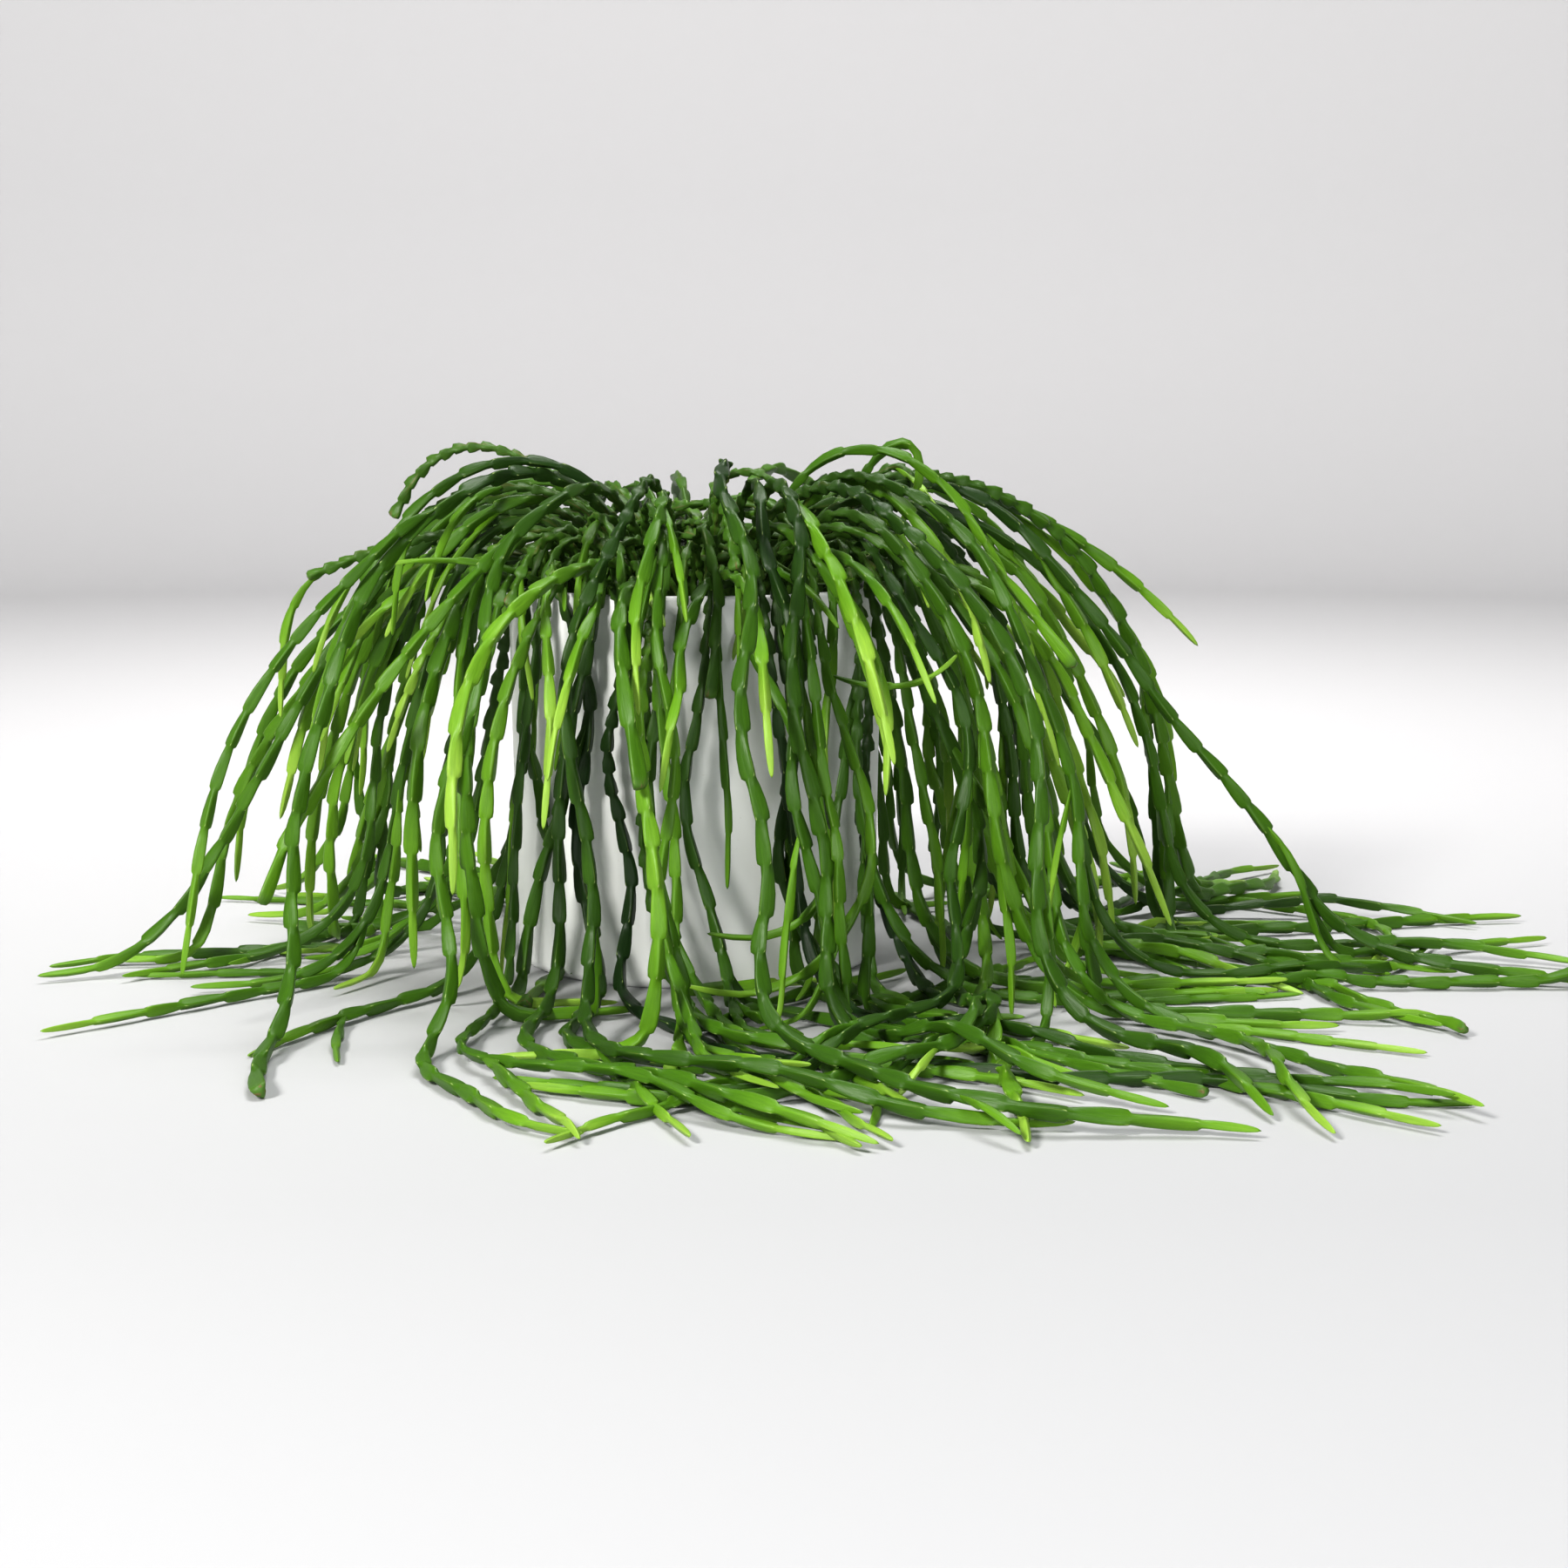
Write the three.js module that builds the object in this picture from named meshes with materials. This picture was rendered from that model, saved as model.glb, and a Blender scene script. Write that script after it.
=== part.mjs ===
// Potted chain cactus: rooted cuttings in soil, in a plain pot that is nearly a cylinder.
// Millimetres, +Z up. The origin is the centre of the pot's flat base, and z = 0 is the surface
// that the pot stands on. +X is to the right of the front view, and -Y is towards the viewer.

import * as THREE from "three";

// Pot
const POT_HEIGHT = 192;
const POT_RIM_RADIUS = 95;
const POT_BASE_RADIUS = 91.5;
const POT_WALL = 5;
const POT_FLOOR = 8;
const POT_SIDES = 48;
const BASE_ROUNDING = 5;
const RIM_ROUNDING = 2;
const CORNER_STEPS = 3;

// Soil
const SOIL_TOP = 168;
const SOIL_CLEARANCE = 0.4;

// Rooted cuttings, each with two stems
const CUTTINGS = 50;
const ROOT_DISC_RADIUS = 67;
const FORK_HALF_WIDTH = 4.6;
const FORK_HEIGHT = 11;
const FORK_TURN = 0.5;
const FORK_LEAN = [4, 26];
const LEAN_SCATTER = 8;
const OUTER_SCATTER = 0.2;
const GOLDEN_ANGLE = Math.PI * (3 - Math.sqrt(5));

// Stem thickness: the distance from a stem's middle to its three ribs
const FOOT_RADIUS = 2.4;
const STEM_RADIUS = 3.8;
const TIP_RADIUS = 0.9;
const THICKENING_LENGTH = 150;
const TAPER_LENGTH = 60;
const TAPER_OVERRUN = 6;

// Distance between a stem's sections, near the crown and further out
const CROWN_STEP = 17;
const TRAIL_STEP = 29;
const CROWN_LENGTH = 170;

// Arches over the rim. The first four pairs hold the values of the inmost and the outmost cuttings, and
// the other pairs here and below are ranges.
const ARCH_REACH = [244, 118];
const ARCH_LEAN = [44, 14];
const ARCH_RISE = [128, 52];
const ARCH_SHOULDER = [246, 208];
const REACH_SCATTER = 40;
const RISE_SCATTER = [-14, 16];
const SHOULDER_SCATTER = [-16, 14];
const SHOULDER_PLACE = [0.8, 0.98];
const SHORT_LENGTH = [0.62, 0.97];
const ARCH_POINTS = 48;
const CHOSEN_POINTS = 60;

// Where the stems land and lie
const LANDING_HEIGHT = 74;
const LANDING_RUN = 62;
const LANDING_TURN = 0.35;
const LANDING_CORNER = 0.12;
const LANDING_POINTS = 8;
const RUN_BIAS = 1.3;
const TRAIL_WALK = 8;
const TRAIL_TURNING = [95, 190];
const TRAIL_WAVE = [0.05, 0.22];
const TRAIL_WAVE_LENGTH = [110, 230];
const FRONT_CROWDING = 0.36;
const FOOTPRINT = { left: -330, right: 470, front: -410, back: 290 };
const FOOTPRINT_SCATTER = 95;

// Sideways sway of a stem, which starts a little way from its foot
const SWAY = [3, 9];
const SWAY_LENGTH = [120, 240];
const SWAY_START = 30;
const SWAY_HEADING = 5;

// Settling: the stems are moved apart until they only touch
const STEM_GAP = 0.34;
const POT_GAP = 0.4;
const FLOOR_GAP = 0.3;
const POT_SAMPLING = 0.1;
const SEARCH_MARGIN = 5;
const SEARCH_EVERY = 8;
const SETTLE_ROUNDS = 320;
const PARTING_ROUNDS = 500;
const BEND_STRENGTH = 0.16;
const HOME_STRENGTH = 0.012;
const LENGTH_STRENGTH = 0.8;
const LENGTH_EVERY = 4;
const LEAST_WEIGHT = 0.05;
const OWN_SPANS_SKIPPED = 2;
const RIM_BAND = 25;
const SETTLED = 0.02;
const CROSSING = 0.05;
const TINY = 1e-9;
const SEATING_PASSES = 4;
const CORNER_TOLERANCE = 0.01;

const SEED = 11;
const UP = new THREE.Vector3(0, 0, 1);

const { degToRad, lerp, clamp, smoothstep } = THREE.MathUtils;

function between(low, high) {
  return lerp(low, high, THREE.MathUtils.seededRandom());
}

function wrapped(angle) {
  return Math.atan2(Math.sin(angle), Math.cos(angle));
}

function outward(azimuth) {
  return new THREE.Vector3(Math.cos(azimuth), Math.sin(azimuth), 0);
}

function potRadiusAt(z) {
  return lerp(POT_BASE_RADIUS, POT_RIM_RADIUS, clamp(z / POT_HEIGHT, 0, 1));
}

// Pot and soil

function roundedCorner(profile, centreX, centreY, radius, startAngle, endAngle) {
  for (let i = 0; i <= CORNER_STEPS; i += 1) {
    const angle = lerp(startAngle, endAngle, i / CORNER_STEPS);
    profile.push(new THREE.Vector2(centreX + radius * Math.cos(angle), centreY + radius * Math.sin(angle)));
  }
}

function turned(profile) {
  const geometry = new THREE.LatheGeometry(profile, POT_SIDES);
  geometry.rotateX(Math.PI / 2);
  return geometry;
}

function potGeometry() {
  const rimInner = POT_RIM_RADIUS - POT_WALL;
  const rimHeight = POT_HEIGHT - RIM_ROUNDING;
  const profile = [new THREE.Vector2(0, 0)];
  roundedCorner(profile, POT_BASE_RADIUS - BASE_ROUNDING, BASE_ROUNDING, BASE_ROUNDING, -Math.PI / 2, 0);
  roundedCorner(profile, POT_RIM_RADIUS - RIM_ROUNDING, rimHeight, RIM_ROUNDING, 0, Math.PI / 2);
  roundedCorner(profile, rimInner + RIM_ROUNDING, rimHeight, RIM_ROUNDING, Math.PI / 2, Math.PI);
  profile.push(new THREE.Vector2(potRadiusAt(POT_FLOOR) - POT_WALL, POT_FLOOR));
  profile.push(new THREE.Vector2(0, POT_FLOOR));
  return turned(profile);
}

function soilGeometry() {
  const inset = POT_WALL + SOIL_CLEARANCE;
  const bottom = POT_FLOOR + SOIL_CLEARANCE;
  return turned([
    new THREE.Vector2(0, bottom),
    new THREE.Vector2(potRadiusAt(bottom) - inset, bottom),
    new THREE.Vector2(potRadiusAt(SOIL_TOP) - inset, SOIL_TOP),
    new THREE.Vector2(0, SOIL_TOP),
  ]);
}

// Routes of the stems

// Stems that stand out in the front view. The first point is above where the root is wanted, and the
// rest are passed on the way to the tip.
const CHOSEN_ROUTES = [
  // A beaded old stem that arches to the left and ends in a cut
  [[-30, -10, 179], [-40, -18, 216], [-66, -28, 237], [-96, -35, 242], [-122, -40, 236], [-138, -43, 223]],
  // A stub that points out to the left
  [[-56, -22, 179], [-76, -27, 208], [-112, -36, 219], [-150, -46, 213], [-188, -54, 199]],
  // The outermost stem on the right
  [[30, 2, 179], [66, -3, 228], [108, -8, 244], [148, -12, 234], [209, -25, 168], [238, -30, 126],
    [276, -36, 84], [302, -41, 46], [322, -48, 14], [352, -60, 4], [398, -70, 4], [440, -86, 3]],
  // The outermost stem on the left
  [[-38, 4, 179], [-82, -8, 226], [-138, -20, 212], [-182, -30, 160], [-211, -38, 110], [-238, -45, 60],
    [-262, -52, 24], [-292, -60, 5], [-322, -70, 4]],
  // A stem in front whose tip turns to the left
  [[38, -38, 179], [55, -84, 212], [70, -128, 160], [78, -148, 96], [74, -158, 50], [55, -166, 20],
    [26, -171, 9], [2, -173, 14]],
  // A young loop at the top
  [[58, 12, 179], [72, 4, 216], [90, 0, 247], [104, -4, 256], [114, -9, 247], [116, -15, 228]],
  // A short beaded arch at the top
  [[10, -6, 179], [15, -10, 224], [26, -16, 240], [40, -26, 237], [52, -46, 224], [60, -84, 208],
    [66, -118, 160], [70, -132, 100]],
];

function chosenRoute(foot, points) {
  const passed = points.slice(1).map((point) => new THREE.Vector3(...point));
  return new THREE.CatmullRomCurve3([foot, ...passed]).getPoints(CHOSEN_POINTS);
}

// The sides of the plant, by the azimuth in degrees that each reaches to: how far out its stems fall, how
// long they run on the surface, how many stay short, and which way they come to lie
const SIDES = [
  {
    upTo: 50,
    spread: 1.08,
    run: [60, 330],
    short: 0.22,
    restingHeading: (azimuth) => azimuth * 0.45 - degToRad(between(0, 26)),
  },
  {
    upTo: 140,
    spread: 0.84,
    run: [20, 150],
    short: 0.34,
    restingHeading: (azimuth) => azimuth - degToRad(between(-25, 62)),
  },
  {
    upTo: 220,
    spread: 0.9,
    run: [20, 150],
    short: 0.32,
    restingHeading: (azimuth) => azimuth + degToRad(between(-12, 48)),
  },
  {
    upTo: 310,
    spread: 0.88,
    run: [50, 430],
    short: 0.26,
    restingHeading: () => degToRad(between(-42, -8)),
  },
];

// Azimuth 0 is to the right and 270 is to the front, where the last side ends and the first one begins.
function sideOf(azimuth) {
  const start = SIDES[SIDES.length - 1].upTo - 360;
  const degrees = THREE.MathUtils.euclideanModulo(THREE.MathUtils.radToDeg(azimuth) - start, 360) + start;
  return SIDES.find((side) => degrees < side.upTo);
}

function trailPoints(start, startHeading, turn, length) {
  const turningLength = Math.abs(turn) * between(...TRAIL_TURNING) + 1;
  const wave = between(...TRAIL_WAVE);
  const waveLength = between(...TRAIL_WAVE_LENGTH);
  const phase = between(0, 2 * Math.PI);
  const margin = between(0, FOOTPRINT_SCATTER);
  const points = [];
  const place = start.clone();
  for (let walked = 0; walked < length; walked += TRAIL_WALK) {
    const bend = turn * smoothstep(walked, 0, turningLength);
    const heading = startHeading + bend + wave * Math.sin((walked / waveLength) * 2 * Math.PI + phase);
    place.addScaledVector(outward(heading), TRAIL_WALK);
    const outside = place.x > FOOTPRINT.right - margin || place.x < FOOTPRINT.left + margin
      || place.y > FOOTPRINT.back - margin || place.y < FOOTPRINT.front + margin;
    if (outside) break;
    points.push(place.clone());
  }
  return points;
}

// A stem rises from its foot, arches over the rim, falls and then lies along the surface.
function grownRoute(foot, azimuth, outerShare) {
  const side = sideOf(azimuth);
  const reach = lerp(...ARCH_REACH, outerShare ** 0.8) + between(-REACH_SCATTER, REACH_SCATTER);
  const landingRadius = Math.max(side.spread * reach, POT_RIM_RADIUS + 3 * STEM_RADIUS);
  const rise = lerp(...ARCH_RISE, outerShare) + between(...RISE_SCATTER);
  const shoulder = lerp(...ARCH_SHOULDER, outerShare) + between(...SHOULDER_SCATTER);
  const direction = outward(azimuth);
  const landing = direction.clone().multiplyScalar(landingRadius).setZ(LANDING_HEIGHT);
  const arch = new THREE.CubicBezierCurve3(
    foot,
    foot.clone().addScaledVector(direction, lerp(...ARCH_LEAN, outerShare)).addScaledVector(UP, rise),
    direction.clone().multiplyScalar(landingRadius * between(...SHOULDER_PLACE)).setZ(shoulder),
    landing,
  );
  const turn = wrapped(side.restingHeading(azimuth) - azimuth);
  const landingHeading = azimuth + LANDING_TURN * turn;
  const bottom = landing.clone().addScaledVector(outward(landingHeading), LANDING_RUN).setZ(STEM_RADIUS);
  const corner = landing.clone().addScaledVector(direction, LANDING_RUN * LANDING_CORNER).setZ(STEM_RADIUS);
  const turnOut = new THREE.QuadraticBezierCurve3(landing, corner, bottom);
  const fallen = arch.getPoints(ARCH_POINTS);
  const stopsShort = THREE.MathUtils.seededRandom() < side.short;
  if (stopsShort) return fallen.slice(0, Math.round(fallen.length * between(...SHORT_LENGTH)));
  const run = lerp(...side.run, THREE.MathUtils.seededRandom() ** RUN_BIAS);
  const trail = trailPoints(bottom, landingHeading, (1 - LANDING_TURN) * turn, run);
  return [...fallen, ...turnOut.getPoints(LANDING_POINTS).slice(1), ...trail];
}

function lengthOf(points) {
  let total = 0;
  for (let i = 1; i < points.length; i += 1) total += points[i].distanceTo(points[i - 1]);
  return total;
}

function pointAlong(points, distance) {
  let left = distance;
  for (let i = 1; i < points.length; i += 1) {
    const step = points[i].distanceTo(points[i - 1]);
    if (left <= step) return points[i - 1].clone().lerp(points[i], left / step);
    left -= step;
  }
  return points[points.length - 1].clone();
}

// Sections lie closer together in the crown, where a stem bends most.
function sectionDistances(total) {
  const crownCount = Math.ceil(Math.min(total, CROWN_LENGTH) / CROWN_STEP);
  const crownStep = Math.min(total, CROWN_LENGTH) / crownCount;
  const distances = [];
  for (let i = 1; i <= crownCount; i += 1) distances.push(i * crownStep);
  const trailing = Math.max(total - CROWN_LENGTH, 0);
  const trailCount = Math.ceil(trailing / TRAIL_STEP);
  for (let i = 1; i <= trailCount; i += 1) distances.push(CROWN_LENGTH + (i * trailing) / trailCount);
  return distances;
}

function radiusAt(distance, total) {
  const grown = lerp(FOOT_RADIUS, STEM_RADIUS, smoothstep(distance, 0, THICKENING_LENGTH));
  return lerp(TIP_RADIUS, grown, smoothstep(total - distance, -TAPER_OVERRUN, TAPER_LENGTH));
}

// Stems as chains of sections

function stemSections(route) {
  const total = lengthOf(route);
  const foot = { place: route[0].clone(), radius: FOOT_RADIUS, held: true };
  const sway = between(...SWAY);
  const waveLength = between(...SWAY_LENGTH);
  const phase = between(0, 2 * Math.PI);
  const sections = sectionDistances(total).map((distance) => {
    const place = pointAlong(route, distance);
    const ahead = pointAlong(route, Math.min(distance + SWAY_HEADING, total));
    const behind = pointAlong(route, distance - SWAY_HEADING);
    const sideways = ahead.sub(behind).cross(UP).normalize();
    const width = sway * smoothstep(distance, SWAY_START, CROWN_LENGTH);
    place.addScaledVector(sideways, width * Math.sin((distance / waveLength) * 2 * Math.PI + phase));
    return { place, radius: radiusAt(distance, total), held: false };
  });
  return [foot, ...sections];
}

function rootPlace(index) {
  const radius = ROOT_DISC_RADIUS * Math.sqrt((index + 0.5) / CUTTINGS);
  return outward(index * GOLDEN_ANGLE).multiplyScalar(radius);
}

function nearestFree(place, taken) {
  let best = -1;
  for (let i = 0; i < CUTTINGS; i += 1) {
    const nearer = best < 0 || rootPlace(i).distanceTo(place) < rootPlace(best).distanceTo(place);
    if (!taken.has(i) && nearer) best = i;
  }
  return best;
}

function chosenByCutting() {
  const chosen = new Map();
  CHOSEN_ROUTES.forEach((points) => {
    const start = new THREE.Vector3(points[0][0], points[0][1], 0);
    chosen.set(nearestFree(start, chosen), points);
  });
  return chosen;
}

// One cutting: first stem from tip to fork, the rooted foot, and second stem from fork to tip
function cuttingChain(index, chosen) {
  const root = rootPlace(index);
  const rootAzimuth = index * GOLDEN_ANGLE;
  const azimuth = rootAzimuth - FRONT_CROWDING * Math.cos(rootAzimuth);
  const forkAzimuth = rootAzimuth + Math.PI / 2 + between(-FORK_TURN, FORK_TURN);
  const across = outward(forkAzimuth).multiplyScalar(FORK_HALF_WIDTH);
  const outerShare = index / (CUTTINGS - 1);
  const forks = [1, -1].map((sign) => {
    const foot = root.clone().addScaledVector(across, sign).setZ(SOIL_TOP + FORK_HEIGHT);
    const lean = sign * between(...FORK_LEAN) + between(-LEAN_SCATTER, LEAN_SCATTER);
    const outer = clamp(outerShare + between(-OUTER_SCATTER, OUTER_SCATTER), 0, 1);
    return stemSections(grownRoute(foot, azimuth + degToRad(lean), outer));
  });
  if (chosen.has(index)) {
    forks[1] = stemSections(chosenRoute(forks[1][0].place, chosen.get(index)));
  }
  const rootSection = {
    place: root.clone().setZ(SOIL_TOP + FOOT_RADIUS + POT_GAP),
    radius: FOOT_RADIUS,
    held: true,
  };
  return [...forks[0].reverse(), rootSection, ...forks[1]];
}

// Settling

function restShape(chain) {
  chain.forEach((section, i) => {
    section.home = section.place.clone();
    const inside = i > 0 && i < chain.length - 1;
    section.bend = new THREE.Vector3();
    if (inside) {
      section.bend.copy(section.place).addScaledVector(chain[i - 1].place, -0.5)
        .addScaledVector(chain[i + 1].place, -0.5);
    }
    section.step = i > 0 ? section.place.distanceTo(chain[i - 1].place) : 0;
  });
}

// A held section doesn't move.
function freedom(section) {
  return section.held ? 0 : 1;
}

function keepLength(chain) {
  const pull = new THREE.Vector3();
  for (let i = 1; i < chain.length; i += 1) {
    const a = chain[i - 1];
    const b = chain[i];
    const weight = freedom(a) + freedom(b);
    if (weight > 0) {
      pull.copy(b.place).sub(a.place);
      const distance = pull.length();
      pull.multiplyScalar((LENGTH_STRENGTH * (distance - b.step)) / (distance * weight));
      a.place.addScaledVector(pull, freedom(a));
      b.place.addScaledVector(pull, -freedom(b));
    }
  }
}

function keepBend(chain) {
  const wanted = new THREE.Vector3();
  for (let i = 1; i < chain.length - 1; i += 1) {
    const section = chain[i];
    if (!section.held) {
      wanted.copy(chain[i - 1].place).add(chain[i + 1].place).multiplyScalar(0.5).add(section.bend);
      section.place.lerp(wanted, BEND_STRENGTH);
      section.place.lerp(section.home, HOME_STRENGTH);
    }
  }
}

function moveSpan(a, b, along, shift) {
  const weight = (1 - along) ** 2 * freedom(a) + along ** 2 * freedom(b);
  if (weight < LEAST_WEIGHT) return;
  a.place.addScaledVector(shift, ((1 - along) * freedom(a)) / weight);
  b.place.addScaledVector(shift, (along * freedom(b)) / weight);
}

// How far a point at this clearance has to move to be out of the pot's wall and above the soil
function potShift(point, clearance) {
  const radius = Math.hypot(point.x, point.y) || 1;
  const outer = potRadiusAt(point.z);
  const inner = outer - POT_WALL;
  const away = new THREE.Vector3(point.x / radius, point.y / radius, 0);
  const sideGap = radius > outer ? radius - outer : Math.min(radius - inner, 0);
  const above = Math.max(point.z - POT_HEIGHT, 0);
  if (sideGap < 0) {
    const lift = SOIL_TOP + clearance - point.z;
    if (lift > 0) return UP.clone().multiplyScalar(lift);
  }
  if (sideGap === 0 && above === 0) {
    if (point.z > POT_HEIGHT - RIM_BAND) return UP.clone().multiplyScalar(POT_HEIGHT + clearance - point.z);
    return away.multiplyScalar(outer + clearance - radius);
  }
  const distance = Math.hypot(sideGap, above);
  if (distance >= clearance) return null;
  return away.multiplyScalar(sideGap).addScaledVector(UP, above).multiplyScalar(clearance / distance - 1);
}

function keepOutOfPot(chain) {
  let worst = 0;
  const point = new THREE.Vector3();
  for (let i = 1; i < chain.length; i += 1) {
    const a = chain[i - 1];
    const b = chain[i];
    for (let along = 0; along < 1; along += POT_SAMPLING) {
      if (!(a.held && b.held)) {
        point.copy(a.place).lerp(b.place, along);
        const shift = potShift(point, Math.max(a.radius, b.radius) + POT_GAP);
        if (shift) {
          worst = Math.max(worst, shift.length());
          moveSpan(a, b, along, shift);
        }
      }
    }
  }
  return worst;
}

function keepAboveSurface(chain) {
  chain.forEach((section) => {
    section.place.z = Math.max(section.place.z, section.radius + FLOOR_GAP);
  });
}

// The nearest points of two spans, as the share along each, and the way from the first to the second
const firstWay = new THREE.Vector3();
const secondWay = new THREE.Vector3();
const betweenStarts = new THREE.Vector3();

function nearest(a, b, c, d, result) {
  firstWay.subVectors(b, a);
  secondWay.subVectors(d, c);
  betweenStarts.subVectors(a, c);
  const aa = firstWay.dot(firstWay);
  const cc = secondWay.dot(secondWay);
  const ac = firstWay.dot(secondWay);
  const ar = firstWay.dot(betweenStarts);
  const cr = secondWay.dot(betweenStarts);
  const spread = aa * cc - ac * ac;
  let first = spread > TINY ? clamp((ac * cr - ar * cc) / spread, 0, 1) : 0.5;
  let second = (ac * first + cr) / cc;
  if (second < 0 || second > 1) {
    second = clamp(second, 0, 1);
    first = clamp((ac * second - ar) / aa, 0, 1);
  }
  result.first = first;
  result.second = second;
  result.way.copy(betweenStarts).negate();
  result.way.addScaledVector(firstWay, -first).addScaledVector(secondWay, second);
}

function allSpans(chains) {
  const spans = [];
  chains.forEach((chain, owner) => {
    for (let i = 1; i < chain.length; i += 1) {
      const radius = Math.max(chain[i - 1].radius, chain[i].radius);
      spans.push({ owner, index: i, a: chain[i - 1], b: chain[i], radius, middle: new THREE.Vector3() });
    }
  });
  return spans;
}

function nearPairs(spans) {
  spans.forEach((span) => {
    span.middle.addVectors(span.a.place, span.b.place).multiplyScalar(0.5);
    span.half = span.a.place.distanceTo(span.b.place) / 2 + span.radius;
  });
  const pairs = [];
  for (let i = 0; i < spans.length; i += 1) {
    for (let j = i + 1; j < spans.length; j += 1) {
      const first = spans[i];
      const second = spans[j];
      const apart = first.owner !== second.owner || Math.abs(first.index - second.index) > OWN_SPANS_SKIPPED;
      const limit = first.half + second.half + SEARCH_MARGIN;
      const near = first.middle.distanceToSquared(second.middle) < limit * limit;
      if (apart && near) pairs.push([first, second]);
    }
  }
  return pairs;
}

const meeting = { first: 0, second: 0, way: new THREE.Vector3() };

function partPairs(pairs) {
  let worst = 0;
  pairs.forEach(([one, other]) => {
    nearest(one.a.place, one.b.place, other.a.place, other.b.place, meeting);
    const wanted = one.radius + other.radius + STEM_GAP;
    const distance = meeting.way.length();
    const missing = wanted - distance;
    if (missing > 0) {
      if (distance < CROSSING) meeting.way.copy(firstWay).cross(secondWay);
      if (meeting.way.lengthSq() < TINY) meeting.way.copy(UP);
      worst = Math.max(worst, missing);
      const shift = meeting.way.setLength((missing + SETTLED) / 2);
      moveSpan(other.a, other.b, meeting.second, shift);
      moveSpan(one.a, one.b, meeting.first, shift.negate());
    }
  });
  return worst;
}

function settle(chains) {
  const spans = allSpans(chains);
  let pairs = [];
  for (let round = 0; round < SETTLE_ROUNDS + PARTING_ROUNDS; round += 1) {
    if (round % SEARCH_EVERY === 0) pairs = nearPairs(spans);
    const settling = round < SETTLE_ROUNDS;
    if (settling) chains.forEach(keepBend);
    if (settling || round % LENGTH_EVERY === 0) chains.forEach(keepLength);
    chains.forEach(keepAboveSurface);
    let worst = Math.max(...chains.map(keepOutOfPot));
    worst = Math.max(worst, partPairs(pairs));
    chains.forEach(keepAboveSurface);
    if (!settling && worst < SETTLED) break;
  }
}

// Solids

// A stem's middle line with its own width at each section, so that an extrusion along it tapers
class StemLine extends THREE.Curve {
  constructor(chain) {
    super();
    this.chain = chain;
  }

  sectionAt(fraction) {
    return Math.round(fraction * (this.chain.length - 1));
  }

  getPointAt(fraction) {
    return this.chain[this.sectionAt(fraction)].place.clone();
  }

  getTangentAt(fraction) {
    const index = this.sectionAt(fraction);
    const behind = this.chain[Math.max(index - 1, 0)].place;
    const ahead = this.chain[Math.min(index + 1, this.chain.length - 1)].place;
    return ahead.clone().sub(behind).normalize();
  }

  computeFrenetFrames(steps, closed) {
    const frames = super.computeFrenetFrames(steps, closed);
    this.chain.forEach((section, i) => {
      frames.normals[i].multiplyScalar(section.radius);
      frames.binormals[i].multiplyScalar(section.radius);
    });
    return frames;
  }
}

function threeAngledSection() {
  const corners = [0, 1, 2].map((i) => {
    const angle = (i * 2 * Math.PI) / 3;
    return new THREE.Vector2(Math.cos(angle), Math.sin(angle));
  });
  return new THREE.Shape(corners);
}

function stemGeometry(chain) {
  return new THREE.ExtrudeGeometry(threeAngledSection(), {
    steps: chain.length - 1,
    extrudePath: new StemLine(chain),
    bevelEnabled: false,
  });
}

// The foot is raised or lowered until its lowest rib is just above the soil. Moving it turns the
// sections a little, so this is done more than once.
function seatFoot(chain) {
  const foot = chain.find((section, i) => section.held && chain[i - 1].held && chain[i + 1].held);
  const corner = new THREE.Vector3();
  for (let pass = 0; pass < SEATING_PASSES; pass += 1) {
    const corners = stemGeometry(chain).getAttribute("position");
    let lowest = Infinity;
    for (let i = 0; i < corners.count; i += 1) {
      corner.fromBufferAttribute(corners, i);
      if (corner.distanceTo(foot.place) < foot.radius + CORNER_TOLERANCE) lowest = Math.min(lowest, corner.z);
    }
    foot.place.z -= lowest - SOIL_TOP - SOIL_CLEARANCE;
  }
}

function named(name, geometry, material) {
  const mesh = new THREE.Mesh(geometry, material);
  mesh.name = name;
  return mesh;
}

function grownCuttings() {
  const chosen = chosenByCutting();
  const chains = [];
  for (let i = 0; i < CUTTINGS; i += 1) chains.push(cuttingChain(i, chosen));
  chains.forEach(restShape);
  settle(chains);
  chains.forEach(seatFoot);
  return chains;
}

THREE.MathUtils.seededRandom(SEED);

const plant = new THREE.Group();
const glaze = new THREE.MeshStandardMaterial({ color: 0xf1f2ef, roughness: 0.42, metalness: 0 });
const earth = new THREE.MeshStandardMaterial({ color: 0x3b2b20, roughness: 0.95, metalness: 0 });
plant.add(named("pot", potGeometry(), glaze));
plant.add(named("soil", soilGeometry(), earth));
grownCuttings().forEach((chain, i) => {
  const green = new THREE.MeshStandardMaterial({ color: 0x3f7a2a, roughness: 0.5, metalness: 0 });
  plant.add(named(`cutting_${String(i + 1).padStart(2, "0")}`, stemGeometry(chain), green));
});

export default plant;
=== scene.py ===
"""Potted chain cactus: the looks of the pot, the soil and the linked, trailing stems.

Laid out as an add-on with one operator for each piece or group of like pieces. Sizes are in metres.
"""

import math
import random

import bmesh
import bpy
import numpy as np
from mathutils import Euler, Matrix, Vector, kdtree, noise


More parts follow.
